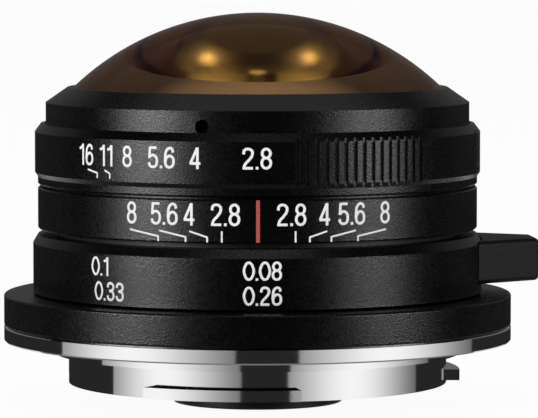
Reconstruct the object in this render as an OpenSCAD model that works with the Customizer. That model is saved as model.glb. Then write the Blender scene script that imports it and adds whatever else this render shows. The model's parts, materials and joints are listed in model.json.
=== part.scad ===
// Compact circular fisheye lens for a bayonet-mount camera.
// Millimetres. The optical axis is Z, the flange face that meets the camera is z = 0,
// +Z points to the domed front glass, -Y faces the index line and +X the focus lever.
// Drawn focused at its nearest distance with the iris wide open.

/* [Bayonet mount] */
// Outside diameter of the bayonet tube
throat_d = 38.1; // [36:0.1:40]
// Step from the bayonet tube out to the centring boss
boss_step = 1.45; // [1:0.05:2]
// Width of the flange face outside the centring boss
flange_w = 5.05; // [4.5:0.05:6]
// Thickness of the chrome flange
flange_t = 1.6; // [1.4:0.1:2.4]
// Depth of the centring boss
boss_h = 1.2; // [0.8:0.1:1.6]
// Wall of the bayonet tube
throat_wall = 1.4; // [1.1:0.1:1.8]
// Depth of the bayonet tube behind the flange face
throat_depth = 4.25; // [3.6:0.05:5]
// Thickness of each bayonet tab
tab_t = 1.1; // [0.8:0.1:1.4]
// Angle that each bayonet tab covers
tab_angle = 45; // [30:1:55]
// Angle of the first tab's middle from the index line
tab_turn = -10.5; // [-30:0.5:30]
// Radius of the mount screws' shanks
mount_screw_r = 0.8; // [0.6:0.05:0.9]
// Width of the lock pin's slot
lock_slot_w = 2.6; // [2:0.1:3]

/* [Rear housing] */
// Height of the black skirt above the chrome flange
skirt_h = 3.15; // [3:0.05:5]
// Radius of the skirt's upper edge
skirt_edge = 0.25; // [0.2:0.05:0.8]
// Wall of the fixed sleeve that the focus ring turns on
sleeve_wall = 1.3; // [1:0.1:1.5]
// Thickness of the light baffle
baffle_t = 0.7; // [0.5:0.1:1]

/* [Focus ring] */
// Wall of the focus ring outside its thread
focus_wall = 2.3; // [2:0.1:3]
// Height of the focus ring
focus_h = 5.9; // [5.4:0.05:7]
// Angle from the nearest focus to infinity
focus_turn = 118; // [90:1:150]
// Distance that the barrel sinks from the nearest focus to infinity
focus_travel = 0.46; // [0.3:0.02:0.8]
// Wall of the ring that carries the focusing thread
helicoid_wall = 0.8; // [0.6:0.1:1.2]
// Width of the bevel at the top of the focus ring
focus_bevel_w = 0.5; // [0.2:0.05:0.8]
// Height of the bevel at the top of the focus ring
focus_bevel_h = 0.85; // [0.4:0.05:1.2]
// Length of the focus lever beyond the ring
lever_l = 5.7; // [4:0.1:8]
// Height of the focus lever
lever_h = 4.3; // [3:0.1:4.6]
// Width of the lever where it leaves the ring
lever_root_w = 12.4; // [9:0.1:15]
// Width of the lever's tip
lever_tip_w = 5.4; // [3:0.1:8]
// Angle of the lever from the index line
lever_turn = 95; // [80:1:110]
// Radius of the lever's rounded edges
lever_edge = 0.5; // [0.3:0.05:0.8]

/* [Depth scale ring] */
// Wall of the depth scale ring
scale_wall = 1.76; // [1.5:0.02:2.4]
// Height of the depth scale ring
scale_h = 4.2; // [4:0.05:6]
// Width of the groove under the aperture ring
groove_h = 0.25; // [0.2:0.05:0.6]

/* [Aperture ring] */
// Width of the aperture ring's rim around the front ring
rim_w = 0.4; // [0.3:0.05:0.8]
// Height of the aperture ring with its collar
aperture_h = 6.1; // [5.6:0.1:8]
// Height of the narrow collar at the foot of the aperture ring
collar_h = 0.8; // [0.4:0.05:1]
// Step from the collar out to the aperture ring
collar_step = 0.3; // [0.1:0.05:0.5]
// Width of the bevel at the top of the aperture ring
aperture_bevel_w = 0.6; // [0.4:0.05:1]
// Height of the bevel at the top of the aperture ring
aperture_bevel_h = 0.8; // [0.5:0.05:1.2]
// Angle from the widest stop to the smallest stop
aperture_turn = 46.1; // [40:0.1:50]
// Number of grip grooves in each patch
grip_count = 15; // [8:1:20]
// Angle between grip grooves
grip_pitch = 2.5; // [2:0.1:3]
// Depth of the grip grooves
grip_depth = 0.22; // [0.1:0.01:0.4]
// Angle from the index line to the first grip groove
grip_start = 9.9; // [8:0.1:20]

/* [Barrel] */
// Step from the barrel's neck out to where the aperture ring turns
barrel_step = 1.36; // [1.2:0.02:1.8]
// Diameter of the guide tube that slides in the rear housing
guide_d = 35.6; // [34:0.1:37]
// Wall of the guide tube
guide_wall = 1.2; // [0.9:0.1:1.6]
// Wall of the barrel around the iris
barrel_wall = 3.1; // [2.6:0.1:3.6]
// Thickness of the web that carries the rear cell
web_t = 1.5; // [1.2:0.1:2]
// Diameter of the pins that stop the barrel from turning
guide_pin_d = 1.6; // [1.2:0.1:1.8]

/* [Front ring] */
// Wall of the front ring around the barrel's neck
front_wall = 2.32; // [2:0.02:3]
// Height of the front ring
front_h = 4.1; // [3.8:0.1:5]
// Depth to which the front ring drops into the aperture ring
front_sink = 0.5; // [0.3:0.05:0.8]
// Height of the cone at the top of the front ring
front_cone_h = 1.5; // [1:0.1:1.6]
// Width of the flat lip around the front glass
front_lip_w = 0.6; // [0.4:0.05:1.2]
// Thickness of the lip that holds the front glass
front_lip_t = 1; // [0.7:0.1:1.2]
// Radius of the front ring's set screws
set_screw_r = 0.66; // [0.5:0.02:0.8]

/* [Front glass] */
// Diameter of the front glass that shows inside the ring
dome_d = 37; // [35:0.1:39]
// Radius of the front glass's outer surface
dome_r = 26.7; // [24:0.1:32]
// Radius of the front glass's hollow inner surface
dome_hollow_r = 11.2; // [10.6:0.1:11.6]
// Thickness of the front glass on the axis
dome_t = 2; // [1.6:0.1:2.6]
// Thickness of the front glass's clamped edge
dome_edge_t = 0.9; // [0.8:0.1:1.2]
// Diameter of the second element
second_d = 18.4; // [17.6:0.1:18.8]
// Thickness of the second element on the axis
second_t = 1.2; // [1:0.1:1.6]
// Diameter of the third element
third_d = 11.2; // [10.8:0.1:11.4]

/* [Rear glass] */
// Diameter of the rear cell that stands out of the mount
rear_cell_d = 17.2; // [16:0.1:17.6]
// Depth of the rear cell's end behind the flange face
rear_cell_depth = 6.25; // [5.6:0.05:7]
// Diameter of the fourth element
fourth_d = 8.4; // [8:0.1:8.8]
// Diameter of the cemented pair
pair_d = 9.6; // [9.2:0.1:10]
// Diameter of the seventh element
seventh_d = 11.6; // [11:0.1:12]

/* [Iris] */
// Diameter of the stop when it is wide open
stop_d = 6.1; // [5.6:0.1:6.4]
// Radius of the circle of blade pivots
pivot_r = 7; // [6.9:0.05:7.2]
// Angle that each blade swings from open to closed
blade_swing = 20.8; // [16:0.1:21]
// Thickness of a blade
blade_t = 0.08; // [0.06:0.01:0.1]
// Step from one blade's layer to the next
blade_step = 0.15; // [0.13:0.01:0.2]
// Radius of the pins on each blade
blade_pin_r = 0.35; // [0.3:0.01:0.4]

/* [Clearances] */
// Gap around a part that turns or slides
run_gap = 0.1; // [0.05:0.01:0.12]
// Gap around a part that is screwed, pressed or glued in place
fit_gap = 0.04; // [0.02:0.01:0.06]
// Gap at the end of a movement
stop_gap = 0.1; // [0.08:0.01:0.15]
// Gap beside a part that never touches
side_gap = 0.2; // [0.15:0.01:0.25]
// Small bevel on the rings' edges
bevel = 0.15; // [0.1:0.01:0.2]

/* [Hidden] */
$fn = 128;
cut = 0.5;
blade_count = 7;
blade_pitch = 360 / blade_count;

// Radii of the mount and the housing
throat_r = throat_d / 2;
boss_r = throat_r + boss_step;
flange_r = boss_r + flange_w;
throat_bore = throat_r - throat_wall;
tab_r = boss_r - run_gap;
tab_set = 0.12;
tab_count = 3;
mount_screw_count = 4;
mount_screw_pcr = (boss_r + flange_r) / 2;
mount_screw_head_r = 1.75 * mount_screw_r;
mount_screw_head_h = 0.75;
mount_screw_bite = 2.4;
mount_screw_l = flange_t + mount_screw_bite;
mount_screw_cross = [1.2 * mount_screw_head_r, 0.3, 0.8];
lock_slot_l = 4.2;
lock_slot_depth = 0.75 * flange_t;
lock_slot_turn = 90;
flange_bevel = 0.2;
baffle_lip = 0.9;
baffle_wall = 0.6;
baffle_sink = 0.6;
baffle_mouth_gap = 0.5;
relief_angle = 2.2;
relief_gap = 0.2;

// Radii of the sliding guide, the fixed sleeve and the focusing thread
guide_r = guide_d / 2;
guide_bore = guide_r - guide_wall;
sleeve_bore = guide_r + run_gap;
sleeve_r = sleeve_bore + sleeve_wall;
helicoid_bore = sleeve_r + side_gap;
helicoid_r = helicoid_bore + helicoid_wall;
focus_bore = helicoid_r + run_gap;
focus_r = focus_bore + focus_wall;

// Radii of the front glass, the barrel and the rings around it
dome_rim_r = dome_d / 2;
dome_step = 0.4;
dome_edge_r = dome_rim_r + dome_step;
neck_r = dome_edge_r + fit_gap;
front_bore = neck_r + fit_gap;
front_r = front_bore + front_wall;
lip_bore = dome_rim_r + fit_gap;
barrel_r = neck_r + barrel_step;
barrel_bore = barrel_r - barrel_wall;
scale_bore = barrel_r + fit_gap;
scale_r = scale_bore + scale_wall;
aperture_bore = barrel_r + run_gap;
aperture_r = front_r + run_gap + rim_w + aperture_bevel_w;
collar_r = aperture_r - collar_step;
helicoid_screw_pcr = (guide_r + helicoid_r) / 2;
small_screw_r = 0.45;
small_head_r = 0.8;
small_head_h = 0.5;
barrel_foot_w = 0.7;
barrel_foot_r = max(barrel_r + barrel_foot_w, helicoid_screw_pcr + 2 * small_screw_r);

// Heights up the outside of the lens
z_flange = flange_t;
z_skirt = z_flange + skirt_h;
focus_lift = 0.1;
z_focus = z_skirt + focus_lift;
z_focus_top = z_focus + focus_h;
z_scale = z_focus_top + focus_travel + stop_gap;
z_scale_top = z_scale + scale_h;
z_aperture = z_scale_top + groove_h;
z_aperture_top = z_aperture + aperture_h;
z_front = z_aperture_top - front_sink;
z_front_top = z_front + front_h;

// Seat of the front glass on the barrel
z_shoulder = z_front_top - front_lip_t;
z_seat = z_shoulder - dome_edge_t;
z_apex = z_front_top + sag(dome_r, dome_rim_r);
z_hollow = z_apex - dome_t;
neck_h = 3.4;
z_neck = z_seat - neck_h;

// Inside the focus ring
focus_foot_t = 0.85;
keeper_t = 0.8;
helicoid_flange_t = 1;
z_keeper = z_focus + focus_foot_t + run_gap;
z_helicoid = z_keeper + keeper_t + focus_travel + stop_gap;
z_sleeve_top = z_scale - helicoid_flange_t - focus_travel - side_gap;
z_guide = z_flange + focus_travel + side_gap;
keeper_r = focus_bore - 0.75 * side_gap;
keeper_notch = [1.2, 4, 0.56];
barrel_foot_t = 0.9;
stop_pin_r = 0.5;
stop_pin_pcr = (focus_bore + focus_r) / 2;
stop_pin_turn = 150;
stop_pin_rise = 0.7;
guide_pin_r = guide_pin_d / 2;
guide_pin_z = z_flange + skirt_h / 2;
guide_pin_turns = [30, 150, 270];
guide_pin_tip = 0.9;
guide_pin_bite = 1.2;
guide_pin_in = guide_r - guide_pin_tip;
guide_pin_out = sleeve_r + guide_pin_bite;
helicoid_screw_bite = 0.2;
screw_room = 0.6;
screw_turns = [60, 180, 300];

// Focus lever
lever_r = focus_r + lever_l;
lever_top_gap = 0.55;
lever_z = z_focus_top - lever_top_gap - lever_h;
lever_root_in = 2.5;
lever_foot_t = 0.3;
lever_foot_angle = asin(lever_root_w / 2 / focus_r) + 0.9;
lever_screw_turn = 9;
lever_screw_head = focus_bore + side_gap;
lever_screw_bite = 2.2;
lever_screw_end = focus_r + lever_screw_bite;

// Depth scale ring and aperture ring
scale_rise = groove_h - run_gap;
scale_rise_w = 0.9;
scale_screw_lift = 0.3;
scale_screw_z = z_scale + scale_h / 2 + scale_screw_lift;
scale_screw_skin = 0.6;
scale_screw_end = scale_r - scale_screw_skin;
collar_bevel_h = 0.45;
grip_share = 0.58;
grip_w = grip_share * 2 * aperture_r * sin(grip_pitch / 2);
grip_floor_share = 0.4;
grip_floor_w = grip_floor_share * grip_w;
grip_skin = 0.1;
grip_turns = [0, 66, 132, 231];
aperture_pin_r = 0.6;
aperture_pin_lift = 1.7;
aperture_pin_z = z_aperture + aperture_pin_lift;
aperture_pin_turn = 180;
aperture_pin_in = 12.6;
aperture_pin_bite = 1.2;
aperture_pin_out = aperture_bore + aperture_pin_bite;
set_screw_lift = 0.56;
set_screw_z = z_aperture_top + set_screw_lift;
set_screw_turn = -14.5;
set_screw_sink = 1.3;
set_screw_socket = 0.5;
set_screw_turns = [for (i = [0 : 2]) set_screw_turn + i * 120];

// Click stop of the aperture ring, one notch for each marked stop
click_z = z_aperture + aperture_h / 2;
click_ball_r = 0.5;
click_turn = -120;
click_depth = 0.15;
click_leaf_t = 0.25;
click_leaf_h = 1.4;
click_leaf_angle = 26;
click_ball_pos = aperture_bore - stop_gap / 2 - click_ball_r;
click_leaf_r = click_ball_pos - click_ball_r - fit_gap;
click_angles = [for (share = [0, 0.354, 0.555, 0.777, 0.902, 1]) share * aperture_turn];

// Front cell with the second and third elements
second_r = second_d / 2;
second_front_r = 24;
second_hollow_r = 5.6;
second_step = 0.6;
second_edge_t = 2;
second_below_seat = 2.96;
z_second = z_seat - second_below_seat;
z_second_shoulder = z_second + second_edge_t;
second_rim_h = 1.1;
z_second_rim = z_second_shoulder + second_rim_h;
retainer_drop = 0.06;
retainer_slot = [1, 3, 0.6];
z_second_apex = z_second_rim + sag(second_front_r, second_r);
cell_bore = second_r + second_step + fit_gap;
cell_wall = 1.15;
cell_r = cell_bore + cell_wall;
cell_flange_t = 1;
cell_flange_w = 2;
cell_flange_r = cell_r + cell_flange_w;
cell_neck_wall = 1.2;
cell_floor_t = 1;
third_r = third_d / 2;
third_front_r = 14;
third_back_r = 10;
third_edge_t = 1.1;
seat_w = 0.6;
third_seat_r = third_r - seat_w;
spacer_t = 2.1;
third_bore = third_r + fit_gap;
z_third_front = z_second - spacer_t;
z_third_edge = z_third_front - sag(third_front_r, third_r) + sag(third_front_r, third_seat_r);
z_third_back = z_third_edge - third_edge_t;
z_third_seat = z_third_back - sag(third_back_r, third_r) + sag(third_back_r, third_seat_r);
third_seat_t = 0.7;
z_cell_foot = z_third_seat - fit_gap - third_seat_t;
plate_t = 2;

// Web, rear cell and iris stack
web_drop = 1.9;
z_web_top = z_scale - web_drop;
z_web = z_web_top - web_t;
floor_t = 0.6;
z_floor = z_web_top + floor_t;
base_t = 0.6;
z_base_top = z_floor + base_t;
blade_lift = 0.06;
z_cam = z_base_top + blade_lift + blade_count * blade_step;
cam_t = 0.8;
z_cam_top = z_cam + cam_t;
iris_keeper_t = 0.55;
z_iris_keeper = z_cam_top + run_gap;
z_cup = z_iris_keeper + iris_keeper_t;
lug_r = 0.75;
cup_room = 0.65;
cup_bore = pivot_r + lug_r + cup_room;
cup_wall = 1.1;
cup_r = cup_bore + cup_wall;
rear_flange_w = 3.2;
rear_flange_r = cup_r + rear_flange_w;
rear_flange_t = 1;
rear_screw_pcr = (cup_r + rear_flange_r) / 2;
rear_cell_r = rear_cell_d / 2;
stop_r = stop_d / 2;
base_hole_gap = 0.25;
base_hole_r = stop_r + base_hole_gap;
iris_keeper_w = 1;
iris_keeper_gap = [-60, -48];

// Blade outline, measured with the stop wide open
blade_pin_room = 0.45;
blade_out_r = pivot_r - blade_pin_r - blade_pin_room;
lug_lap = 0.2;
blade_span = 125;
drive_turn = 27;
cam_ratio = blade_swing / aperture_turn;
pivot_at = [pivot_r, 0];
drive_at = pivot_r * [cos(drive_turn), sin(drive_turn)];
cam_lip = 1.6;
cam_in = stop_r + cam_lip;
cam_steps = 16;
cam_slack = 2;
slot_half = blade_pin_r + run_gap / 2;
arm_angle = 10;
arm_in = pivot_r;
arm_pin_reach = 1.8;
arm_out = aperture_pin_in + arm_pin_reach;
arm_post_t = 1.1;
arm_post_in = arm_out - arm_post_t;
arm_rise = 0.9;
arm_slack = 3;

// Rear elements, from the iris towards the camera
fourth_r = fourth_d / 2;
fourth_front_r = 9;
fourth_back_r = 14;
fourth_edge_t = 1;
fourth_seat_gap = 0.1;
fourth_seat_r = base_hole_r + fourth_seat_gap;
fourth_ledge_drop = 0.2;
z_fourth_ledge = z_web_top - fourth_ledge_drop;
z_fourth_edge = z_fourth_ledge - fit_gap
  - sag(fourth_front_r, fourth_r) + sag(fourth_front_r, fourth_seat_r);
z_fourth_back = z_fourth_edge - fourth_edge_t;
fourth_ring_in = fourth_r - seat_w;
z_fourth_ring = z_fourth_back - fit_gap
  - sag(fourth_back_r, fourth_r) + sag(fourth_back_r, fourth_ring_in);
fourth_ring_t = 1;
pair_r = pair_d / 2;
pair_front_r = 30;
pair_joint_r = 7;
pair_back_r = 25;
pair_front_edge_t = 1.35;
pair_back_edge_t = 3.2;
cement = 0.02;
z_pair_ledge = z_fourth_ring - fourth_ring_t;
z_pair = z_pair_ledge - fit_gap;
z_pair_joint = z_pair - pair_front_edge_t;
z_pair_back = z_pair_joint - pair_back_edge_t;
seventh_r = seventh_d / 2;
seventh_front_r = 18;
seventh_back_r = 12;
seventh_edge_t = 2.2;
pair_ring_t = 0.5;
z_seventh_seat = z_pair_back - fit_gap - pair_ring_t;
seventh_ledge_lift = 0.1;
z_seventh_ledge = z_seventh_seat + seventh_ledge_lift;
z_seventh_edge = z_seventh_seat - fit_gap
  - sag(seventh_front_r, seventh_r) + sag(seventh_front_r, pair_r - seat_w);
z_seventh_back = z_seventh_edge - seventh_edge_t;
rear_retainer_w = 0.8;
retainer_in = seventh_r - rear_retainer_w;
rear_retainer_slot = [0.8, 2.4, 0.8];
pair_back_lip = 0.3;
z_retainer = z_seventh_back - fit_gap
  - sag(seventh_back_r, seventh_r) + sag(seventh_back_r, retainer_in);
retainer_t = 1.2;
bore_run = 0.3;
z_bore_end = z_retainer - retainer_t - bore_run;
rear_mouth_wall = 1.3;
rear_mouth_r = rear_cell_r - rear_mouth_wall;

glass_colour = [0.45, 0.3, 0.16, 0.55];
black_metal = [0.09, 0.09, 0.1];
steel_colour = [0.55, 0.56, 0.58];

// Depth of a spherical surface of radius curve at distance r from the axis
function sag(curve, r) = curve - sqrt(curve * curve - r * r);

// A point turned about the origin
function turned(p, a) = [p[0] * cos(a) - p[1] * sin(a), p[0] * sin(a) + p[1] * cos(a)];

// Place of a blade's drive pin on the cam ring when the aperture ring has turned by a
function pin_on_cam(a) =
  turned(pivot_at + turned(drive_at - pivot_at, cam_ratio * a), -a);

// Unit vector across the cam slot there
function across_cam(a) =
  let (step = pin_on_cam(a + 0.5) - pin_on_cam(a - 0.5)) [-step[1], step[0]] / norm(step);

// Turns a shape from the index line by psi, towards the lever
module at(psi) {
  rotate([0, 0, psi]) children();
}

module ring(r_in, r_out, z0, z1) {
  rotate_extrude() translate([r_in, z0]) square([r_out - r_in, z1 - z0]);
}

module disc(r, z0, z1) {
  translate([0, 0, z0]) cylinder(r = r, h = z1 - z0);
}

module sector(r_in, r_out, z0, z1, psi0, psi1) {
  rotate([0, 0, psi0 - 90])
    rotate_extrude(angle = psi1 - psi0) translate([r_in, z0]) square([r_out - r_in, z1 - z0]);
}

// Round rod along a radius, from one distance off the axis to another
module rod(psi, z, r, from, to) {
  at(psi) translate([0, -from, z]) rotate([90, 0, 0]) cylinder(r = r, h = to - from);
}

// Cap of glass between a plane edge and a spherical surface that swells upwards
module cap_up(r, curve, z_edge) {
  intersection() {
    translate([0, 0, z_edge + sag(curve, r) - curve]) sphere(r = curve);
    disc(r, z_edge - fit_gap, z_edge + curve);
  }
}

module cap_down(r, curve, z_edge) {
  intersection() {
    translate([0, 0, z_edge - sag(curve, r) + curve]) sphere(r = curve);
    disc(r, z_edge - curve, z_edge + fit_gap);
  }
}

// Small screw along a radius with its head towards the axis
module radial_screw(psi, z, head_at, end) {
  rod(psi, z, small_head_r, head_at, head_at + small_head_h);
  rod(psi, z, small_screw_r, head_at + small_head_h, end);
}

module radial_screw_hole(psi, z, head_at, end) {
  rod(psi, z, small_head_r + fit_gap, head_at - 2 * cut, head_at + small_head_h);
  rod(psi, z, small_screw_r + fit_gap, head_at, end + fit_gap);
}

// Small screw along Z with its head below and its shank upwards
module upright_screw(x, z_head, z_end, head_r, head_h, shank_r) {
  translate([0, -x, z_head]) difference() {
    union() {
      cylinder(r = head_r, h = head_h);
      cylinder(r = shank_r, h = z_end - z_head);
    }
    translate([0, 0, -cut]) cylinder(r = head_r / 2, h = cut + head_h / 2, $fn = 6);
  }
}

module countersunk(grow) {
  cylinder(r1 = mount_screw_head_r + grow, r2 = mount_screw_r + grow, h = mount_screw_head_h);
  cylinder(r = mount_screw_r + grow, h = mount_screw_l + grow);
}

module each_mount_screw() {
  for (i = [0 : mount_screw_count - 1])
    at(45 + i * 360 / mount_screw_count) translate([0, -mount_screw_pcr, 0]) children();
}

module bayonet_tab(psi) {
  low = tab_set - throat_depth;
  sector(throat_r - throat_wall / 2, tab_r, low, low + tab_t, psi - tab_angle / 2, psi + tab_angle / 2);
}

module lock_slot() {
  reach = (lock_slot_l - lock_slot_w) / 2;
  square([2 * reach, lock_slot_w], center = true);
  for (side = [-1, 1]) translate([side * reach, 0]) circle(d = lock_slot_w);
}

module bayonet_mount() {
  color("silver") difference() {
    union() {
      rotate_extrude() polygon([
        [throat_bore, -throat_depth], [throat_r, -throat_depth], [throat_r, -boss_h],
        [boss_r, -boss_h], [boss_r, 0], [flange_r - bevel, 0], [flange_r, bevel],
        [flange_r, flange_t - flange_bevel], [flange_r - flange_bevel, flange_t],
        [throat_bore, flange_t]
      ]);
      for (i = [0 : tab_count - 1]) bayonet_tab(tab_turn + i * 360 / tab_count);
    }
    // Seat for the baffle's lip
    disc(throat_bore + baffle_lip, flange_t - baffle_t, flange_t + cut);
    // Relief at the end of the first tab
    sector(throat_bore - cut, throat_r + cut, -throat_depth - cut, -throat_depth + 0.7 * tab_t,
      tab_turn - tab_angle / 2 - relief_gap - relief_angle, tab_turn - tab_angle / 2 - relief_gap);
    // Slot for the camera's lock pin
    at(lock_slot_turn) translate([0, -mount_screw_pcr, -cut])
      linear_extrude(cut + lock_slot_depth) lock_slot();
    each_mount_screw() countersunk(fit_gap);
  }
}

module mount_screws() {
  color(steel_colour) each_mount_screw() difference() {
    countersunk(0);
    for (turn = [0, 90]) rotate([0, 0, turn]) cube(mount_screw_cross, center = true);
  }
}

module rear_baffle() {
  floor_z = baffle_sink + baffle_t - throat_depth;
  mouth = rear_cell_r + baffle_mouth_gap;
  outer = throat_bore - fit_gap;
  color([0.05, 0.05, 0.05]) rotate_extrude() polygon([
    [mouth, floor_z], [outer, floor_z], [outer, flange_t - baffle_t],
    [outer + baffle_lip, flange_t - baffle_t], [outer + baffle_lip, flange_t],
    [outer - baffle_wall, flange_t], [outer - baffle_wall, floor_z + baffle_t],
    [mouth, floor_z + baffle_t]
  ]);
}

module rear_housing() {
  color(black_metal) difference() {
    rotate_extrude() union() {
      polygon([
        [sleeve_bore, z_flange], [flange_r - bevel, z_flange], [flange_r, z_flange + bevel],
        [flange_r, z_skirt - skirt_edge], [flange_r - skirt_edge, z_skirt],
        [sleeve_r, z_skirt], [sleeve_r, z_sleeve_top], [sleeve_bore, z_sleeve_top]
      ]);
      translate([flange_r - skirt_edge, z_skirt - skirt_edge]) circle(r = skirt_edge);
    }
    each_mount_screw() countersunk(fit_gap);
    for (psi = guide_pin_turns)
      rod(psi, guide_pin_z, guide_pin_r + fit_gap, guide_pin_in, guide_pin_out + fit_gap);
    at(stop_pin_turn) translate([0, -stop_pin_pcr, z_flange + skirt_h / 2])
      cylinder(r = stop_pin_r + fit_gap, h = skirt_h);
  }
}

module guide_pins() {
  color(steel_colour) for (psi = guide_pin_turns)
    rod(psi, guide_pin_z, guide_pin_r, guide_pin_in, guide_pin_out);
}

module focus_keeper() {
  color("darkgoldenrod") difference() {
    ring(sleeve_r + fit_gap, keeper_r, z_keeper, z_keeper + keeper_t);
    for (psi = [0, 90, 180, 270]) at(psi)
      translate([0, -keeper_r, z_keeper + keeper_t]) cube(keeper_notch, center = true);
  }
}

module focus_stop_pin() {
  low = z_flange + skirt_h / 2 + fit_gap;
  color(steel_colour) at(stop_pin_turn) translate([0, -stop_pin_pcr, low])
    cylinder(r = stop_pin_r, h = z_focus + stop_pin_rise - low);
}

module focus_ring() {
  margin = asin((stop_pin_r + run_gap) / stop_pin_pcr);
  groove = stop_pin_r + run_gap;
  color(black_metal) difference() {
    rotate_extrude() polygon([
      [sleeve_r + run_gap, z_focus], [focus_r - bevel, z_focus], [focus_r, z_focus + bevel],
      [focus_r, z_focus_top - focus_bevel_h], [focus_r - focus_bevel_w, z_focus_top],
      [focus_bore, z_focus_top], [focus_bore, z_focus + focus_foot_t],
      [sleeve_r + run_gap, z_focus + focus_foot_t]
    ]);
    sector(stop_pin_pcr - groove, stop_pin_pcr + groove, z_focus - cut,
      z_focus + stop_pin_rise + run_gap,
      stop_pin_turn - focus_turn - margin, stop_pin_turn + margin);
    for (side = [-1, 1])
      radial_screw_hole(lever_turn + side * lever_screw_turn, lever_z + lever_h / 2,
        lever_screw_head, lever_screw_end);
  }
}

module focus_lever() {
  root_y = lever_root_w / 2 + (lever_root_w - lever_tip_w) / 2 / lever_l * lever_root_in;
  color(black_metal) difference() {
    union() {
      at(lever_turn) hull() for (side = [-1, 1]) for (z = [lever_edge, lever_h - lever_edge]) {
        translate([side * (lever_tip_w / 2 - lever_edge), lever_edge - lever_r, lever_z + z])
          sphere(r = lever_edge, $fn = 24);
        translate([side * (root_y - lever_edge), lever_root_in - focus_r, lever_z + z])
          sphere(r = lever_edge, $fn = 24);
      }
      sector(focus_r - cut, focus_r + lever_foot_t, lever_z + lever_edge,
        lever_z + lever_h - lever_edge, lever_turn - lever_foot_angle, lever_turn + lever_foot_angle);
    }
    disc(focus_r + fit_gap, lever_z - cut, lever_z + lever_h + cut);
    for (side = [-1, 1])
      rod(lever_turn + side * lever_screw_turn, lever_z + lever_h / 2, small_screw_r + fit_gap,
        focus_r - cut, lever_screw_end + fit_gap);
  }
}

module lever_screws() {
  color(steel_colour) for (side = [-1, 1])
    radial_screw(lever_turn + side * lever_screw_turn, lever_z + lever_h / 2,
      lever_screw_head, lever_screw_end);
}

module main_barrel() {
  pin_margin = asin((aperture_pin_r + side_gap) / barrel_bore);
  pin_room = aperture_pin_r + side_gap;
  color(black_metal) difference() {
    rotate_extrude() polygon([
      [rear_cell_r + fit_gap, z_web], [guide_bore, z_web], [guide_bore, z_guide], [guide_r, z_guide],
      [guide_r, z_scale], [barrel_foot_r, z_scale], [barrel_foot_r, z_scale + barrel_foot_t],
      [barrel_r, z_scale + barrel_foot_t], [barrel_r, z_neck], [neck_r, z_neck], [neck_r, z_seat],
      [cell_flange_r + fit_gap, z_seat], [cell_flange_r + fit_gap, z_seat - cell_flange_t],
      [cell_r + fit_gap, z_seat - cell_flange_t], [cell_r + fit_gap, z_seat - plate_t],
      [barrel_bore, z_seat - plate_t], [barrel_bore, z_scale + barrel_foot_t],
      [guide_bore, z_scale], [guide_bore, z_web_top], [rear_cell_r + fit_gap, z_web_top]
    ]);
    // Slots for the guide pins
    for (psi = guide_pin_turns) at(psi)
      translate([-guide_pin_r - run_gap / 2, -guide_r - cut, z_guide - cut])
        cube([guide_pin_d + run_gap, guide_wall + 2 * cut,
          guide_pin_z + guide_pin_r + focus_travel + side_gap - z_guide + cut]);
    // Window for the pin that drives the iris
    sector(barrel_bore - cut, barrel_r + cut, aperture_pin_z - pin_room, aperture_pin_z + pin_room,
      aperture_pin_turn - pin_margin, aperture_pin_turn + aperture_turn + pin_margin);
    // Pocket for the click leaf and hole for its ball
    sector(click_leaf_r - click_leaf_t - fit_gap, click_leaf_r + fit_gap,
      click_z - click_leaf_h / 2 - fit_gap, z_neck + cut,
      click_turn - click_leaf_angle / 2 - 0.3, click_turn + click_leaf_angle / 2 + 0.3);
    rod(click_turn, click_z, click_ball_r + run_gap / 2, click_leaf_r, barrel_r + cut);
    for (psi = screw_turns) {
      rod(psi, scale_screw_z, small_screw_r + fit_gap, barrel_bore - cut, barrel_r + cut);
      at(psi) translate([0, -rear_screw_pcr, z_web - cut])
        cylinder(r = small_screw_r + fit_gap, h = web_t + 2 * cut);
      at(psi) translate([0, -helicoid_screw_pcr, z_scale - cut])
        cylinder(r = small_screw_r + fit_gap, h = cut + barrel_foot_t + helicoid_screw_bite + screw_room);
    }
  }
}

module helicoid_ring() {
  inner = helicoid_bore;
  color(black_metal) difference() {
    rotate_extrude() polygon([
      [inner, z_helicoid], [helicoid_r, z_helicoid], [helicoid_r, z_scale],
      [guide_r + fit_gap, z_scale], [guide_r + fit_gap, z_scale - helicoid_flange_t],
      [inner, z_scale - helicoid_flange_t]
    ]);
    for (psi = screw_turns) at(psi) translate([0, -helicoid_screw_pcr, 0]) {
      translate([0, 0, z_scale - helicoid_flange_t - cut])
        cylinder(r = small_head_r + fit_gap, h = cut + small_head_h);
      translate([0, 0, z_scale - helicoid_flange_t])
        cylinder(r = small_screw_r + fit_gap, h = helicoid_flange_t + cut);
    }
  }
}

module helicoid_screws() {
  color(steel_colour) for (psi = screw_turns) at(psi)
    upright_screw(helicoid_screw_pcr, z_scale - helicoid_flange_t,
      z_scale + barrel_foot_t + helicoid_screw_bite, small_head_r, small_head_h, small_screw_r);
}

module depth_scale_ring() {
  inner = scale_bore;
  color(black_metal) difference() {
    rotate_extrude() polygon([
      [barrel_foot_r + fit_gap, z_scale], [scale_r - bevel, z_scale], [scale_r, z_scale + bevel],
      [scale_r, z_scale_top - bevel], [scale_r - bevel, z_scale_top],
      [inner + scale_rise_w, z_scale_top], [inner + scale_rise_w, z_scale_top + scale_rise],
      [inner, z_scale_top + scale_rise], [inner, z_scale + barrel_foot_t],
      [barrel_foot_r + fit_gap, z_scale + barrel_foot_t]
    ]);
    for (psi = screw_turns)
      rod(psi, scale_screw_z, small_screw_r + fit_gap, barrel_r, scale_screw_end + fit_gap);
  }
}

module scale_screws() {
  color(steel_colour) for (psi = screw_turns)
    radial_screw(psi, scale_screw_z, barrel_bore - small_head_h - fit_gap, scale_screw_end);
}

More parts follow.
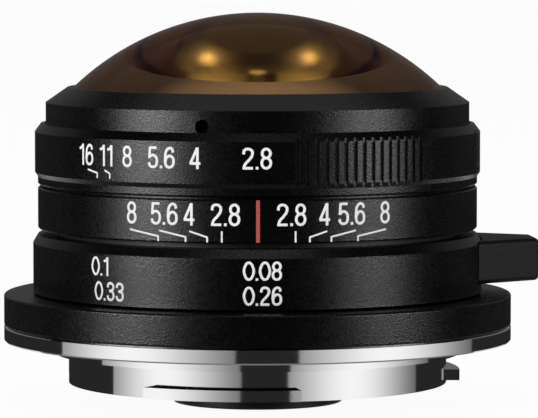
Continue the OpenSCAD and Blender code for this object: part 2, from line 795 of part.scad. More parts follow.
module front_ring() {
  color(black_metal) difference() {
    rotate_extrude() polygon([
      [front_bore, z_neck + run_gap], [barrel_r, z_neck + run_gap], [barrel_r, z_front],
      [front_r, z_front], [front_r, z_front_top - front_cone_h],
      [lip_bore + front_lip_w, z_front_top], [lip_bore, z_front_top], [lip_bore, z_shoulder],
      [front_bore, z_shoulder]
    ]);
    for (psi = set_screw_turns)
      rod(psi, set_screw_z, set_screw_r + fit_gap, front_bore - cut, front_r + cut);
  }
}

module front_set_screws() {
  color(steel_colour) for (psi = set_screw_turns) difference() {
    rod(psi, set_screw_z, set_screw_r, neck_r + fit_gap, front_r - set_screw_sink);
    at(psi) translate([0, set_screw_sink + set_screw_socket - front_r, set_screw_z])
      rotate([90, 0, 0]) cylinder(r = set_screw_r / 2, h = set_screw_socket + cut, $fn = 6);
  }
}

module front_element() {
  color(glass_colour) difference() {
    union() {
      intersection() {
        translate([0, 0, z_apex - dome_r]) sphere(r = dome_r);
        disc(dome_rim_r, z_seat, z_apex + cut);
      }
      disc(dome_edge_r, z_seat, z_shoulder);
    }
    translate([0, 0, z_hollow - dome_hollow_r]) sphere(r = dome_hollow_r);
  }
}

module front_cell() {
  color(black_metal) rotate_extrude() polygon([
    [third_seat_r, z_cell_foot], [third_bore + cell_neck_wall, z_cell_foot],
    [third_bore + cell_neck_wall, z_second - cell_floor_t], [cell_r, z_second - cell_floor_t],
    [cell_r, z_seat - cell_flange_t], [cell_flange_r, z_seat - cell_flange_t],
    [cell_flange_r, z_seat], [cell_bore, z_seat], [cell_bore, z_second], [third_bore, z_second],
    [third_bore, z_cell_foot + third_seat_t], [third_seat_r, z_cell_foot + third_seat_t]
  ]);
}

module second_element() {
  color(glass_colour) difference() {
    union() {
      disc(second_r + second_step, z_second, z_second_shoulder);
      disc(second_r, z_second, z_second_rim);
      cap_up(second_r, second_front_r, z_second_rim);
    }
    translate([0, 0, z_second_apex - second_t - second_hollow_r]) sphere(r = second_hollow_r);
  }
}

module second_retainer() {
  color(black_metal) difference() {
    ring(second_r + fit_gap, cell_bore - fit_gap, z_second_shoulder, z_seat - retainer_drop);
    for (psi = [0, 180]) at(psi)
      translate([0, -cell_bore, z_seat]) cube(retainer_slot, center = true);
  }
}

module third_spacer() {
  color(black_metal) ring(third_seat_r, third_r, z_third_front + fit_gap, z_second);
}

module third_element() {
  color(glass_colour) union() {
    disc(third_r, z_third_back, z_third_edge);
    cap_up(third_r, third_front_r, z_third_edge);
    cap_down(third_r, third_back_r, z_third_back);
  }
}

module rear_cell() {
  mouth_z = -rear_cell_depth;
  fourth_bore = fourth_r + fit_gap;
  pair_bore = pair_r + fit_gap;
  seventh_bore = seventh_r + fit_gap;
  color(black_metal) difference() {
    rotate_extrude() polygon([
      [rear_mouth_r, mouth_z], [rear_cell_r - bevel, mouth_z], [rear_cell_r, mouth_z + bevel],
      [rear_cell_r, z_web_top], [rear_flange_r, z_web_top], [rear_flange_r, z_web_top + rear_flange_t],
      [cup_r, z_web_top + rear_flange_t], [cup_r, z_cup], [cup_bore, z_cup], [cup_bore, z_floor],
      [base_hole_r, z_floor], [base_hole_r, z_fourth_ledge], [fourth_bore, z_fourth_ledge],
      [fourth_bore, z_pair_ledge], [pair_bore, z_pair_ledge], [pair_bore, z_seventh_ledge],
      [seventh_bore, z_seventh_ledge], [seventh_bore, z_bore_end]
    ]);
    // Window that the iris arm sweeps through
    sector(cup_bore - cut, cup_r + cut, z_cam - run_gap, z_cup + cut,
      aperture_pin_turn - arm_angle / 2 - arm_slack,
      aperture_pin_turn + aperture_turn + arm_angle / 2 + arm_slack);
    for (psi = screw_turns) at(psi) translate([0, -rear_screw_pcr, z_web_top - cut])
      cylinder(r = small_screw_r + fit_gap, h = rear_flange_t + 2 * cut);
  }
}

module rear_cell_screws() {
  color(steel_colour) for (psi = screw_turns) at(psi)
    translate([0, 0, z_web_top + rear_flange_t + small_head_h]) mirror([0, 0, 1])
      upright_screw(rear_screw_pcr, 0, small_head_h + rear_flange_t + web_t - 0.1,
        small_head_r, small_head_h, small_screw_r);
}

module fourth_element() {
  color(glass_colour) union() {
    disc(fourth_r, z_fourth_back, z_fourth_edge);
    cap_up(fourth_r, fourth_front_r, z_fourth_edge);
    cap_down(fourth_r, fourth_back_r, z_fourth_back);
  }
}

module fourth_spacer() {
  color(black_metal) ring(fourth_ring_in, fourth_r, z_pair_ledge, z_fourth_ring);
}

module fifth_element() {
  color(glass_colour) union() {
    disc(pair_r, z_pair_joint, z_pair - sag(pair_front_r, pair_r));
    cap_up(pair_r, pair_front_r, z_pair - sag(pair_front_r, pair_r));
    cap_down(pair_r, pair_joint_r, z_pair_joint);
  }
}

module sixth_element() {
  color(glass_colour) difference() {
    disc(pair_r, z_pair_back, z_pair_joint - cement);
    translate([0, 0, z_pair_joint - cement - sag(pair_joint_r, pair_r) + pair_joint_r])
      sphere(r = pair_joint_r);
    translate([0, 0, z_pair_back + sag(pair_back_r, pair_r - pair_back_lip) - pair_back_r])
      sphere(r = pair_back_r);
  }
}

module seventh_spacer() {
  color(black_metal) ring(pair_r - seat_w, pair_r, z_seventh_seat, z_pair_back - fit_gap);
}

module seventh_element() {
  color(glass_colour) union() {
    disc(seventh_r, z_seventh_back, z_seventh_edge);
    cap_up(seventh_r, seventh_front_r, z_seventh_edge);
    cap_down(seventh_r, seventh_back_r, z_seventh_back);
  }
}

module rear_retainer() {
  color(black_metal) difference() {
    ring(retainer_in, seventh_r, z_retainer - retainer_t, z_retainer);
    for (psi = [0, 180]) at(psi)
      translate([0, -seventh_r, z_retainer - retainer_t]) cube(rear_retainer_slot, center = true);
  }
}

module each_blade_place() {
  for (i = [0 : blade_count - 1]) rotate([0, 0, i * blade_pitch]) children();
}

module iris_base() {
  color([0.2, 0.2, 0.21]) difference() {
    ring(base_hole_r, cup_bore - fit_gap, z_floor, z_base_top);
    each_blade_place() translate([pivot_r, 0, z_floor - cut])
      cylinder(r = blade_pin_r + run_gap / 2, h = base_t + 2 * cut);
  }
}

module iris_keeper() {
  color(steel_colour) difference() {
    ring(cup_bore - iris_keeper_w, cup_bore - fit_gap, z_iris_keeper, z_cup);
    sector(0, cup_bore + cut, z_iris_keeper - cut, z_cup + cut, iris_keeper_gap[0], iris_keeper_gap[1]);
  }
}

module click_leaf() {
  color(steel_colour)
    sector(click_leaf_r - click_leaf_t, click_leaf_r, click_z - click_leaf_h / 2,
      click_z + click_leaf_h / 2, click_turn - click_leaf_angle / 2, click_turn + click_leaf_angle / 2);
}

module click_ball() {
  color("silver") at(click_turn) translate([0, -click_ball_pos, click_z]) sphere(r = click_ball_r);
}

module grip_groove(psi) {
  at(psi) translate([0, 0, z_aperture + collar_h]) linear_extrude(aperture_h) polygon([
    [-grip_w / 2, -aperture_r - grip_skin], [grip_w / 2, -aperture_r - grip_skin],
    [grip_floor_w / 2, grip_depth - aperture_r], [-grip_floor_w / 2, grip_depth - aperture_r]
  ]);
}

module aperture_ring() {
  notch_r = click_ball_r + run_gap / 2;
  notch_at = aperture_bore + click_depth + fit_gap - notch_r;
  color(black_metal) difference() {
    rotate_extrude() polygon([
      [aperture_bore, z_aperture], [collar_r - bevel, z_aperture], [collar_r, z_aperture + bevel],
      [collar_r, z_aperture + collar_h], [aperture_r, z_aperture + collar_h + collar_bevel_h],
      [aperture_r, z_aperture_top - aperture_bevel_h],
      [aperture_r - aperture_bevel_w, z_aperture_top], [front_r + run_gap, z_aperture_top],
      [front_r + run_gap, z_front - run_gap], [aperture_bore, z_front - run_gap]
    ]);
    for (turn = grip_turns) for (i = [0 : grip_count - 1])
      grip_groove(grip_start + turn + i * grip_pitch);
    for (a = click_angles) at(click_turn - a)
      translate([0, -notch_at, click_z - click_ball_r - run_gap])
        cylinder(r = notch_r, h = 2 * (click_ball_r + run_gap), $fn = 32);
    rod(aperture_pin_turn, aperture_pin_z, aperture_pin_r + fit_gap, aperture_bore - cut,
      aperture_pin_out + fit_gap);
  }
}

module aperture_pin() {
  color(steel_colour)
    rod(aperture_pin_turn, aperture_pin_z, aperture_pin_r, aperture_pin_in, aperture_pin_out);
}

module cam_slot() {
  angles = [for (i = [0 : cam_steps]) i / cam_steps * (aperture_turn + 2 * cam_slack) - cam_slack];
  back = [for (i = [cam_steps : -1 : 0]) angles[i]];
  polygon(concat(
    [for (a = angles) pin_on_cam(a) + slot_half * across_cam(a)],
    [for (a = back) pin_on_cam(a) - slot_half * across_cam(a)]
  ));
  for (a = [angles[0], back[0]]) translate(pin_on_cam(a)) circle(r = slot_half, $fn = 32);
}

module iris_cam_ring() {
  fork = aperture_pin_r + fit_gap;
  color([0.2, 0.2, 0.21]) difference() {
    union() {
      ring(cam_in, cup_bore - run_gap, z_cam, z_cam_top);
      sector(arm_in, arm_out, z_cam, z_cam_top, aperture_pin_turn - arm_angle / 2,
        aperture_pin_turn + arm_angle / 2);
      sector(arm_post_in, arm_out, z_cam, aperture_pin_z + arm_rise, aperture_pin_turn - arm_angle / 2,
        aperture_pin_turn + arm_angle / 2);
    }
    each_blade_place() translate([0, 0, z_cam - cut]) linear_extrude(cam_t + 2 * cut) cam_slot();
    // Fork that takes the drive pin
    at(aperture_pin_turn) translate([-fork, -arm_out - cut, aperture_pin_z - aperture_pin_r - fit_gap])
      cube([2 * fork, arm_out - arm_post_in + 2 * cut, arm_rise + 2]);
  }
}

// Thin crescent with a pivot pin below and a drive pin above
module iris_blade(i) {
  low = z_base_top + blade_lift + (i - 1) * blade_step;
  pin_low = z_floor + run_gap;
  pin_high = z_cam_top - run_gap;
  end_mid = (stop_r + blade_out_r) / 2;
  end_r = 0.45 * (blade_out_r - stop_r);
  color([0.16, 0.16, 0.17]) rotate([0, 0, (i - 1) * blade_pitch]) union() {
    sector(stop_r, blade_out_r, low, low + blade_t, 90, 90 + blade_span);
    sector(blade_out_r - lug_lap, pivot_r + 0.8 * lug_r, low, low + blade_t, 90, 90 + drive_turn);
    rotate([0, 0, blade_span]) translate([end_mid, 0, low]) cylinder(r = end_r, h = blade_t);
    translate([pivot_r, 0, low]) cylinder(r = lug_r, h = blade_t);
    rotate([0, 0, drive_turn]) translate([pivot_r, 0, low]) cylinder(r = lug_r, h = blade_t);
    translate([pivot_r, 0, pin_low]) cylinder(r = blade_pin_r, h = low + blade_t - pin_low, $fn = 32);
    rotate([0, 0, drive_turn]) translate([pivot_r, 0, low])
      cylinder(r = blade_pin_r, h = pin_high - low, $fn = 32);
  }
}

bayonet_mount();
mount_screws();
rear_baffle();
rear_housing();
guide_pins();
focus_keeper();
focus_stop_pin();
focus_ring();
focus_lever();
lever_screws();
main_barrel();
helicoid_ring();
helicoid_screws();
depth_scale_ring();
scale_screws();
front_ring();
front_set_screws();
front_element();
front_cell();
second_element();
second_retainer();
third_spacer();
third_element();
rear_cell();
rear_cell_screws();
fourth_element();
fourth_spacer();
fifth_element();
sixth_element();
seventh_spacer();
seventh_element();
rear_retainer();
iris_base();
iris_keeper();
click_leaf();
click_ball();
aperture_ring();
aperture_pin();
iris_cam_ring();
iris_blade(1);  // iris_blade_1
iris_blade(2);  // iris_blade_2
iris_blade(3);  // iris_blade_3
iris_blade(4);  // iris_blade_4
iris_blade(5);  // iris_blade_5
iris_blade(6);  // iris_blade_6
iris_blade(7);  // iris_blade_7
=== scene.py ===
# %% [markdown]
# The subject is a small circular fisheye lens for a mirrorless camera, standing on its rear end with
# the domed front glass up. All hard parts come from the CAD model, in metres, and stay where they are.
# Blender adds what a CAD model lacks: smooth glass, painted scales, finishes, light and a camera.

# %% Load the lens
import json
import math

import bpy
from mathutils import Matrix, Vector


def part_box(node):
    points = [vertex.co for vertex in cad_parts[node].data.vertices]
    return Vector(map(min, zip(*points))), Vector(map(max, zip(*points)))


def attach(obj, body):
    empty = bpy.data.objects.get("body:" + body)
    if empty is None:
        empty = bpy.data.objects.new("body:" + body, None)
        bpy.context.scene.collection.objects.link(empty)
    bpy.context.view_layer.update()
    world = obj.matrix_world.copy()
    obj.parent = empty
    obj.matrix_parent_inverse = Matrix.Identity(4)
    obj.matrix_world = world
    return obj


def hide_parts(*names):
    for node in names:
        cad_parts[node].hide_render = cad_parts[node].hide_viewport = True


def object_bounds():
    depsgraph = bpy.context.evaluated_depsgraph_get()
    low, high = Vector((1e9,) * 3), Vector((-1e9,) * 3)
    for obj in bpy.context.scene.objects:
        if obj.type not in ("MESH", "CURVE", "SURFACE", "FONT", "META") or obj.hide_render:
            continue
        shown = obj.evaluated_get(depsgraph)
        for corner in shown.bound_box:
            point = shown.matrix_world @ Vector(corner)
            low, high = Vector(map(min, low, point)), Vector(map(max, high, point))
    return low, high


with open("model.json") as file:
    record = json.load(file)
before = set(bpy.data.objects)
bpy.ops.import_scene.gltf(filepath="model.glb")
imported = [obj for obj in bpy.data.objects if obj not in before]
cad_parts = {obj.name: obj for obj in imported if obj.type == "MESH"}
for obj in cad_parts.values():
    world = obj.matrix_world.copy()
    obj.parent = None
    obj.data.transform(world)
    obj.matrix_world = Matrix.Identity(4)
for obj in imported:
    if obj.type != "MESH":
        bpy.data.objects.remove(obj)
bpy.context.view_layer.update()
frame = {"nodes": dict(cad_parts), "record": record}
nodes = frame["nodes"]
MM = 0.001

# %% [markdown]
# A product photographer stands low and far away and uses a long focal length, which keeps the rings
# nearly straight. A camera close by would bend them into ellipses. The focal length is written in pixels
# of a picture 538 wide, as it can be measured in one, and turned into millimetres for Blender's sensor.
# The lens axis lies a little to the left of the picture's middle, so the camera turns by that angle.

# %% Camera
PICTURE_WIDE = 538
FOCAL_PIXELS = 4165
AXIS_LEFT_PIXELS = 11.5
SENSOR_WIDE = 36
CAMERA_AWAY = 419 * MM
CAMERA_HEIGHT = 42.2 * MM
CAMERA_DIP = math.radians(3.97)
camera_turn = math.atan(AXIS_LEFT_PIXELS / FOCAL_PIXELS)
bpy.ops.object.select_all(action="DESELECT")
bpy.ops.object.camera_add(
    location=(0, -CAMERA_AWAY, CAMERA_HEIGHT),
    rotation=(math.pi / 2 - CAMERA_DIP, 0, -camera_turn),
)
camera = bpy.context.object
camera.data.sensor_width = SENSOR_WIDE
camera.data.lens = SENSOR_WIDE * FOCAL_PIXELS / PICTURE_WIDE
camera.data.clip_start = 10 * MM
scene = bpy.context.scene
scene.camera = camera
scene.view_settings.view_transform = "Standard"
print("camera of", round(camera.data.lens), "mm")

# %% [markdown]
# A material is a web of nodes. Drawn by hand, a sum of five terms is a tangle of Math nodes, but in code
# it reads best as a plain sum. So a small class wraps an output socket: to add, subtract, multiply or
# divide two of them, or one and a number, puts a Math node into the web and gives back its output.

# %% Shader sums
class Wire:
    """One output socket of a web of nodes, which sums as a number does."""

    def __init__(self, web, socket):
        self.web = web
        self.socket = socket

    def sum_with(self, operation, first, second):
        return self.web.node("ShaderNodeMath", {"operation": operation}, {0: first, 1: second})

    def __add__(self, other):
        return self.sum_with("ADD", self, other)

    def __sub__(self, other):
        return self.sum_with("SUBTRACT", self, other)

    def __mul__(self, other):
        return self.sum_with("MULTIPLY", self, other)

    def __truediv__(self, other):
        return self.sum_with("DIVIDE", self, other)

    def __radd__(self, other):
        return self.sum_with("ADD", other, self)

    def __rsub__(self, other):
        return self.sum_with("SUBTRACT", other, self)

    def __rmul__(self, other):
        return self.sum_with("MULTIPLY", other, self)

    def __rtruediv__(self, other):
        return self.sum_with("DIVIDE", other, self)


print("shader sums ready")

# %% [markdown]
# All other nodes come from one method. It takes the node's type, then its settings, which have to be set
# first, and then what goes into its sockets, by name or by number: a wire is linked, and a number or a
# colour is set. The world has such a web as well as a material, so the method belongs to both.

# %% Webs of nodes
class Web:
    """The nodes of a material or of the world."""

    def __init__(self, tree):
        self.tree = tree

    def plug(self, place, item):
        """Links a wire to a socket, or sets the socket to a number or colour."""
        if isinstance(item, Wire):
            self.tree.links.new(item.socket, place)
        else:
            place.default_value = item

    def node(self, kind, settings, inputs, output=0):
        """Adds a node and gives one of its outputs."""
        made = self.tree.nodes.new(kind)
        for name, value in settings.items():
            setattr(made, name, value)
        for name, value in inputs.items():
            self.plug(made.inputs[name], value)
        return Wire(self, made.outputs[output])

    def other(self, wire, output):
        """Another output of the node that a wire comes from."""
        return Wire(self, wire.socket.node.outputs[output])

    def grey(self, level):
        """A number as a grey colour."""
        return self.node("ShaderNodeCombineColor", {}, {0: level, 1: level, 2: level})


print("webs ready")

# %% [markdown]
# Every finish on the lens starts from one Principled shader, because it covers metal, paint and glass
# alike. What differs from place to place is worked out from the place itself: its three coordinates, its
# distance from the lens axis, or a soft noise over them.

# %% Finishes
class Finish(Web):
    """A material with its Principled shader."""

    def __init__(self, name):
        self.material = bpy.data.materials.new(name)
        self.material.use_nodes = True
        super().__init__(self.material.node_tree)
        self.shader = self.tree.nodes["Principled BSDF"]

    def set(self, **sockets):
        """Fills the shader's sockets, whose names have _ for a space here."""
        for name, value in sockets.items():
            self.plug(self.shader.inputs[name.replace("_", " ")], value)

    def place(self):
        """Where a point lies on its piece, in metres."""
        return self.node("ShaderNodeTexCoord", {}, {}, "Object")

    def along(self, axis_name):
        """One coordinate of that place."""
        return self.node("ShaderNodeSeparateXYZ", {}, {"Vector": self.place()}, axis_name)

    def off_axis(self):
        """The distance of that place from the lens axis."""
        across = self.along("X")
        away = self.along("Y")
        return self.node("ShaderNodeMath", {"operation": "SQRT"}, {0: across * across + away * away})

    def cloud(self, scale, detail):
        """A soft noise around one half, of so many waves to the metre."""
        return self.node(
            "ShaderNodeTexNoise", {}, {"Vector": self.place(), "Scale": scale, "Detail": detail}
        )

    def clouded(self, colour, cloud, share):
        """A colour that a noise darkens by some share."""
        settings = {"data_type": "RGBA", "blend_type": "MULTIPLY"}
        return self.node("ShaderNodeMix", settings, {0: share, 6: colour, 7: self.grey(cloud)}, 2)


print("finish class ready")

# %% [markdown]
# The lens stands on a white table in a white room. A table that is white by its lamps alone would need
# so much light that the black rings turned grey. So the camera sees most of it shine plain white by
# itself, and the small rest is a matt surface with a faint shadow. Shiny surfaces and glass don't see it,
# because they have cards of their own to mirror.

# %% Table
TABLE_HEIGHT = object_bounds()[0][2]
TABLE_SIDE = 12
TABLE_WHITE = 0.95
TABLE_MATT = (0.9, 0.9, 0.9, 1)


def level_plane(name, side, height):
    """A square plane at some height, with its place in its mesh."""
    bpy.ops.object.select_all(action="DESELECT")
    bpy.ops.mesh.primitive_plane_add(size=side, location=(0, 0, 0))
    made = bpy.context.object
    made.name = name
    bpy.ops.object.mode_set(mode="EDIT")
    bpy.ops.mesh.select_all(action="SELECT")
    bpy.ops.transform.translate(value=(0, 0, height))
    bpy.ops.object.mode_set(mode="OBJECT")
    return made


def seen_directly(web):
    """1 for rays from the camera, from a mirror or through glass, otherwise 0."""
    camera_ray = web.node("ShaderNodeLightPath", {}, {}, "Is Camera Ray")
    total = camera_ray + web.other(camera_ray, "Is Glossy Ray")
    total = total + web.other(camera_ray, "Is Transmission Ray")
    return total.sum_with("MINIMUM", total, 1)


white_table = Finish("white_table")
white_table.set(Base_Color=TABLE_MATT, Roughness=1, Specular_IOR_Level=0)
white_part = TABLE_WHITE * seen_directly(white_table)
matt = Wire(white_table, white_table.shader.outputs[0])
shine = white_table.node("ShaderNodeEmission", {}, {})
table_mix = white_table.node("ShaderNodeMixShader", {}, {0: white_part, 1: matt, 2: shine})
white_table.plug(white_table.tree.nodes["Material Output"].inputs["Surface"], table_mix)
table = level_plane("table", TABLE_SIDE, TABLE_HEIGHT)
table.data.materials.append(white_table.material)
table.visible_glossy = False
table.visible_transmission = False
table.visible_shadow = False
print("table at", round(TABLE_HEIGHT / MM, 2), "mm")

# %% [markdown]
# The room is the world's background: the same white to the eye, and an even light of under half of that
# for matt surfaces. A picture of a real room would light the lens too, but its windows and furniture would
# show in the black rings. An even room has no bright spots to look for, so it isn't sampled as a lamp.

# %% Room
ROOM_LIGHT = 0.45
room = bpy.data.worlds.new("room")
scene.world = room
room.use_nodes = True
room.cycles.sampling_method = "NONE"
room_web = Web(room.node_tree)
room_shade = room.node_tree.nodes["Background"]
room_level = ROOM_LIGHT + (1 - ROOM_LIGHT) * seen_directly(room_web)
room_web.plug(room_shade.inputs["Strength"], room_level)
room_web.plug(room_shade.inputs["Color"], (1, 1, 1, 1))
print("room light of", ROOM_LIGHT)

# %% [markdown]
# Black metal shows nothing but reflections, so what stands around the lens makes the picture. Two oval
# lamps stand in front, to the left and to the right, and the left one is brighter. A dim cloth hangs
# overhead, a little behind, where the cone of the front ring mirrors it. A narrow one hangs in front and
# lights the upper faces and the paint. A third only fills the shadows on matt surfaces. Area lights suit
# all five: their edges are soft, and a surface's brightness, times its area, times pi, is their energy.

# %% Lamps and cloths
LAMP_AWAY = 0.42
LAMP_HEIGHT = 0.0657
LAMP_WIDE = 0.27
LAMP_TALL = 0.15
CLOTH_HEIGHT = 0.5
CLOTH_WIDE = 0.45


def area_light(name, shape, place, angles, wide, deep, radiance):
    """A soft light of some size, which the camera doesn't see."""
    bpy.ops.object.select_all(action="DESELECT")
    bpy.ops.object.light_add(type="AREA", location=place, rotation=angles)
    made = bpy.context.object
    made.name = name
    made.data.shape = shape
    made.data.size = wide
    made.data.size_y = deep
    share_of_box = math.pi / 4 if shape == "ELLIPSE" else 1
    made.data.energy = radiance * math.pi * wide * deep * share_of_box
    made.visible_camera = False
    return made


def lamp(name, turn, radiance):
    """An oval lamp that faces the lens, at an angle in degrees from the camera's side."""
    angle = math.radians(turn)
    place = (LAMP_AWAY * math.sin(angle), -LAMP_AWAY * math.cos(angle), LAMP_HEIGHT)
    upright = (math.pi / 2, 0, angle)
    return area_light(name, "ELLIPSE", place, upright, LAMP_WIDE, LAMP_TALL, radiance)


def cloth(name, back, deep, radiance):
    """A lit cloth overhead, some way behind the lens axis, or in front of it below zero."""
    place = (0, back, CLOTH_HEIGHT)
    return area_light(name, "RECTANGLE", place, (0, 0, 0), CLOTH_WIDE, deep, radiance)


left_lamp = lamp("left_lamp", turn=-57, radiance=9.5)
right_lamp = lamp("right_lamp", turn=60, radiance=6)
cone_cloth = cloth("cone_cloth", back=0.19, deep=0.45, radiance=0.35)
bevel_cloth = cloth("bevel_cloth", back=-0.34, deep=0.1, radiance=1.5)
fill_cloth = cloth("fill_cloth", back=0, deep=0.45, radiance=1.2)
fill_cloth.visible_glossy = False
fill_cloth.visible_transmission = False
print("two lamps and three cloths")

# %% [markdown]
# Polished chrome and coated glass mirror the whole set, so it needs lit cards, and black flags where a
# reflection should stop. They could be a dozen small planes. One hoop around the lens with a pattern of
# light on it does the same and leaves no gaps. The pattern is a sum over the angle, counted from the
# camera's side, and the height: a bell has soft edges, and a plain limit is the sharp end of a card.

# %% Pattern of the hoop
def bell(value, middle, spread):
    """1 at the middle, falling off smoothly to both sides."""
    far = (value - middle) / spread
    return far.sum_with("POWER", math.e, -0.5 * far * far)


def within(value, low, high):
    """1 between two limits, otherwise 0."""
    return value.sum_with("GREATER_THAN", value, low) * value.sum_with("LESS_THAN", value, high)


def glowing(name):
    """A finish that is black but for its own light."""
    finish = Finish(name)
    finish.set(Base_Color=(0, 0, 0, 1), Roughness=1, Specular_IOR_Level=0, Emission_Strength=1)
    return finish


hoop_light = glowing("card_hoop")
hoop_turn = hoop_light.node(
    "ShaderNodeMath", {"operation": "ARCTAN2"}, {0: hoop_light.along("X"), 1: -1 * hoop_light.along("Y")}
)
hoop_height = hoop_light.along("Z")
print("hoop pattern begun")

# %% [markdown]
# The mount is a round mirror, so it shows a card as an upright bright band that ends where the card ends.
# Two low cards stand in front, brightest under the lamps. Two more stand behind, lower still, for anyone
# who walks round the lens.

# %% Cards
HOOP_FOOT = -0.3
CARD_TOP = 0.02
CARD_GLOW = 1.03
CARD_SPREAD = math.radians(26)
BACK_CARD_TOP = -0.11
BACK_CARD_GLOW = 0.85


def card(middle, start, end, level):
    """The light of one card, by its angles in degrees from the camera's side."""
    shade = bell(hoop_turn, math.radians(middle), CARD_SPREAD)
    return level * shade * within(hoop_turn, math.radians(start), math.radians(end))


left_card = card(middle=-57, start=-96, end=-9.5, level=CARD_GLOW)
right_card = card(middle=58, start=18, end=110, level=CARD_GLOW)
back_left_card = card(middle=-142, start=-178, end=-98, level=BACK_CARD_GLOW)
back_right_card = card(middle=142, start=112, end=178, level=BACK_CARD_GLOW)
front_cards = within(hoop_height, HOOP_FOOT, CARD_TOP) * (left_card + right_card)
back_cards = within(hoop_height, HOOP_FOOT, BACK_CARD_TOP) * (back_left_card + back_right_card)
print("four cards")

# %% [markdown]
# Over the front cards hang the screens that the lamps shine through. The dome mirrors each as a glow with
# a bright middle and a wide, fading halo, so each is a narrow bell and a broad one together. Between them
# is a small oval window, and the rest is nearly black.

# %% Screens
HOOP_TOP = 0.35
FLAG_GLOW = 0.02
UPPER_GLOW = 0.12
SCREEN_RISE = 0.125
CORE_GLOW = 8
CORE_SPREAD = math.radians(6.2)
CORE_TALL = 0.054
HALO_GLOW = 2.3
HALO_SPREAD = math.radians(15.5)
HALO_TALL = 0.136
WINDOW_GLOW = 2
WINDOW_SPREAD = math.radians(8)
WINDOW_RISE = 0.045
WINDOW_TALL = 0.022


def screen(turn, level):
    """The light of one lamp's screen, at an angle in degrees from the camera's side."""
    middle = math.radians(turn)
    core = bell(hoop_turn, middle, CORE_SPREAD) * bell(hoop_height, SCREEN_RISE, CORE_TALL)
    halo = bell(hoop_turn, middle, HALO_SPREAD) * bell(hoop_height, SCREEN_RISE, HALO_TALL)
    return level * (CORE_GLOW * core + HALO_GLOW * halo)


upper_light = UPPER_GLOW + screen(turn=-56, level=1) + screen(turn=58.5, level=0.9)
upper_light = within(hoop_height, CARD_TOP, HOOP_TOP) * upper_light
sideways = hoop_turn / WINDOW_SPREAD
upwards = (hoop_height - WINDOW_RISE) / WINDOW_TALL
window = WINDOW_GLOW * within(sideways * sideways + upwards * upwards, -1, 1)
lit = FLAG_GLOW + front_cards + back_cards + upper_light + window
hoop_light.set(Emission_Color=hoop_light.grey(lit))
print("two screens and a window")

# %% [markdown]
# Neither the camera nor matt surfaces see the props of this set, so they change only what shiny surfaces
# mirror. The first two are a dim ceiling and a dim ground, which close the set above and below.

# %% Ceiling and ground
SHEET_SIDE = 1.6
CEILING_HEIGHT = 0.52
CEILING_GLOW = 0.28
GROUND_GLOW = 0.2


def prop(made, name, finish):
    """Makes a prop that only shiny surfaces and glass can see."""
    made.name = name
    made.data.materials.append(finish.material)
    made.visible_camera = False
    made.visible_diffuse = False
    made.visible_shadow = False


def sheet(name, height, level):
    """An evenly lit sheet over or under the set."""
    finish = glowing(name)
    finish.set(Emission_Color=(level, level, level, 1))
    made = level_plane(name, SHEET_SIDE, height)
    prop(made, name, finish)
    return made


ceiling = sheet("ceiling", CEILING_HEIGHT, CEILING_GLOW)
sheet("ground", HOOP_FOOT, GROUND_GLOW)
print("ceiling and ground")

# %% [markdown]
# The hoop itself is a circle, drawn up twice. It is cut into three props, the back, the front cards and
# the screens over them, because each of these is to light other surfaces.

# %% Hoop
HOOP_RADIUS = 0.5
HOOP_SIDES = 96
FRONT_ARC = math.radians(111)


def parted(hoop, wanted):
    """Takes the faces that pass a test out of a hoop, as a prop of their own."""
    bpy.ops.object.select_all(action="DESELECT")
    hoop.select_set(True)
    bpy.context.view_layer.objects.active = hoop
    for face in hoop.data.polygons:
        face.select = wanted(face.center)
    bpy.ops.object.mode_set(mode="EDIT")
    bpy.ops.mesh.separate(type="SELECTED")
    bpy.ops.object.mode_set(mode="OBJECT")
    return [made for made in bpy.context.selected_objects if made != hoop][0]


def in_front(spot):
    """Whether a spot on the hoop is on the camera's side."""
    return abs(math.atan2(spot.x, -spot.y)) < FRONT_ARC


def over_the_cards(spot):
    """Whether a spot on the hoop is above the front cards."""
    return spot.z > CARD_TOP


bpy.ops.object.select_all(action="DESELECT")
bpy.ops.mesh.primitive_circle_add(
    vertices=HOOP_SIDES, radius=HOOP_RADIUS, fill_type="NOTHING", location=(0, 0, 0)
)
bpy.ops.object.mode_set(mode="EDIT")
bpy.ops.mesh.select_all(action="SELECT")
bpy.ops.transform.translate(value=(0, 0, HOOP_FOOT))
for step in (CARD_TOP - HOOP_FOOT, HOOP_TOP - CARD_TOP):
    bpy.ops.mesh.extrude_region_move(TRANSFORM_OT_translate={"value": (0, 0, step)})
bpy.ops.mesh.select_mode(type="FACE")
bpy.ops.object.mode_set(mode="OBJECT")
back_hoop = bpy.context.object
front_hoop = parted(back_hoop, in_front)
screens = parted(front_hoop, over_the_cards)
prop(back_hoop, "back_hoop", hoop_light)
prop(front_hoop, "front_hoop", hoop_light)
prop(screens, "screens", hoop_light)
print("hoop of", HOOP_SIDES, "sides, in three parts")

# %% [markdown]
# The rings are aluminium, blasted with fine beads and anodised black. The grain is about a tenth of a
# millimetre, far too fine to model, so it is a bump, and it shows as sparkle inside the highlights. A
# Voronoi pattern gives the little craters. Each crater also has a chance value, which changes how wide it
# spreads its shine, and a broad noise keeps the whole from looking even.

# %% Black anodised metal
CRATER_SCALE = 7000
CRATER_DEEP = 0.03 * MM
CRATER_CHANCE = 0.12
BROAD_SCALE = 900
BROAD_CHANCE = 0.04
BLUE_CAST = 1.05
RING_BLACK = {"grey": 0.0012, "rough": 0.29, "grain": 0.45, "gloss": 0.46}


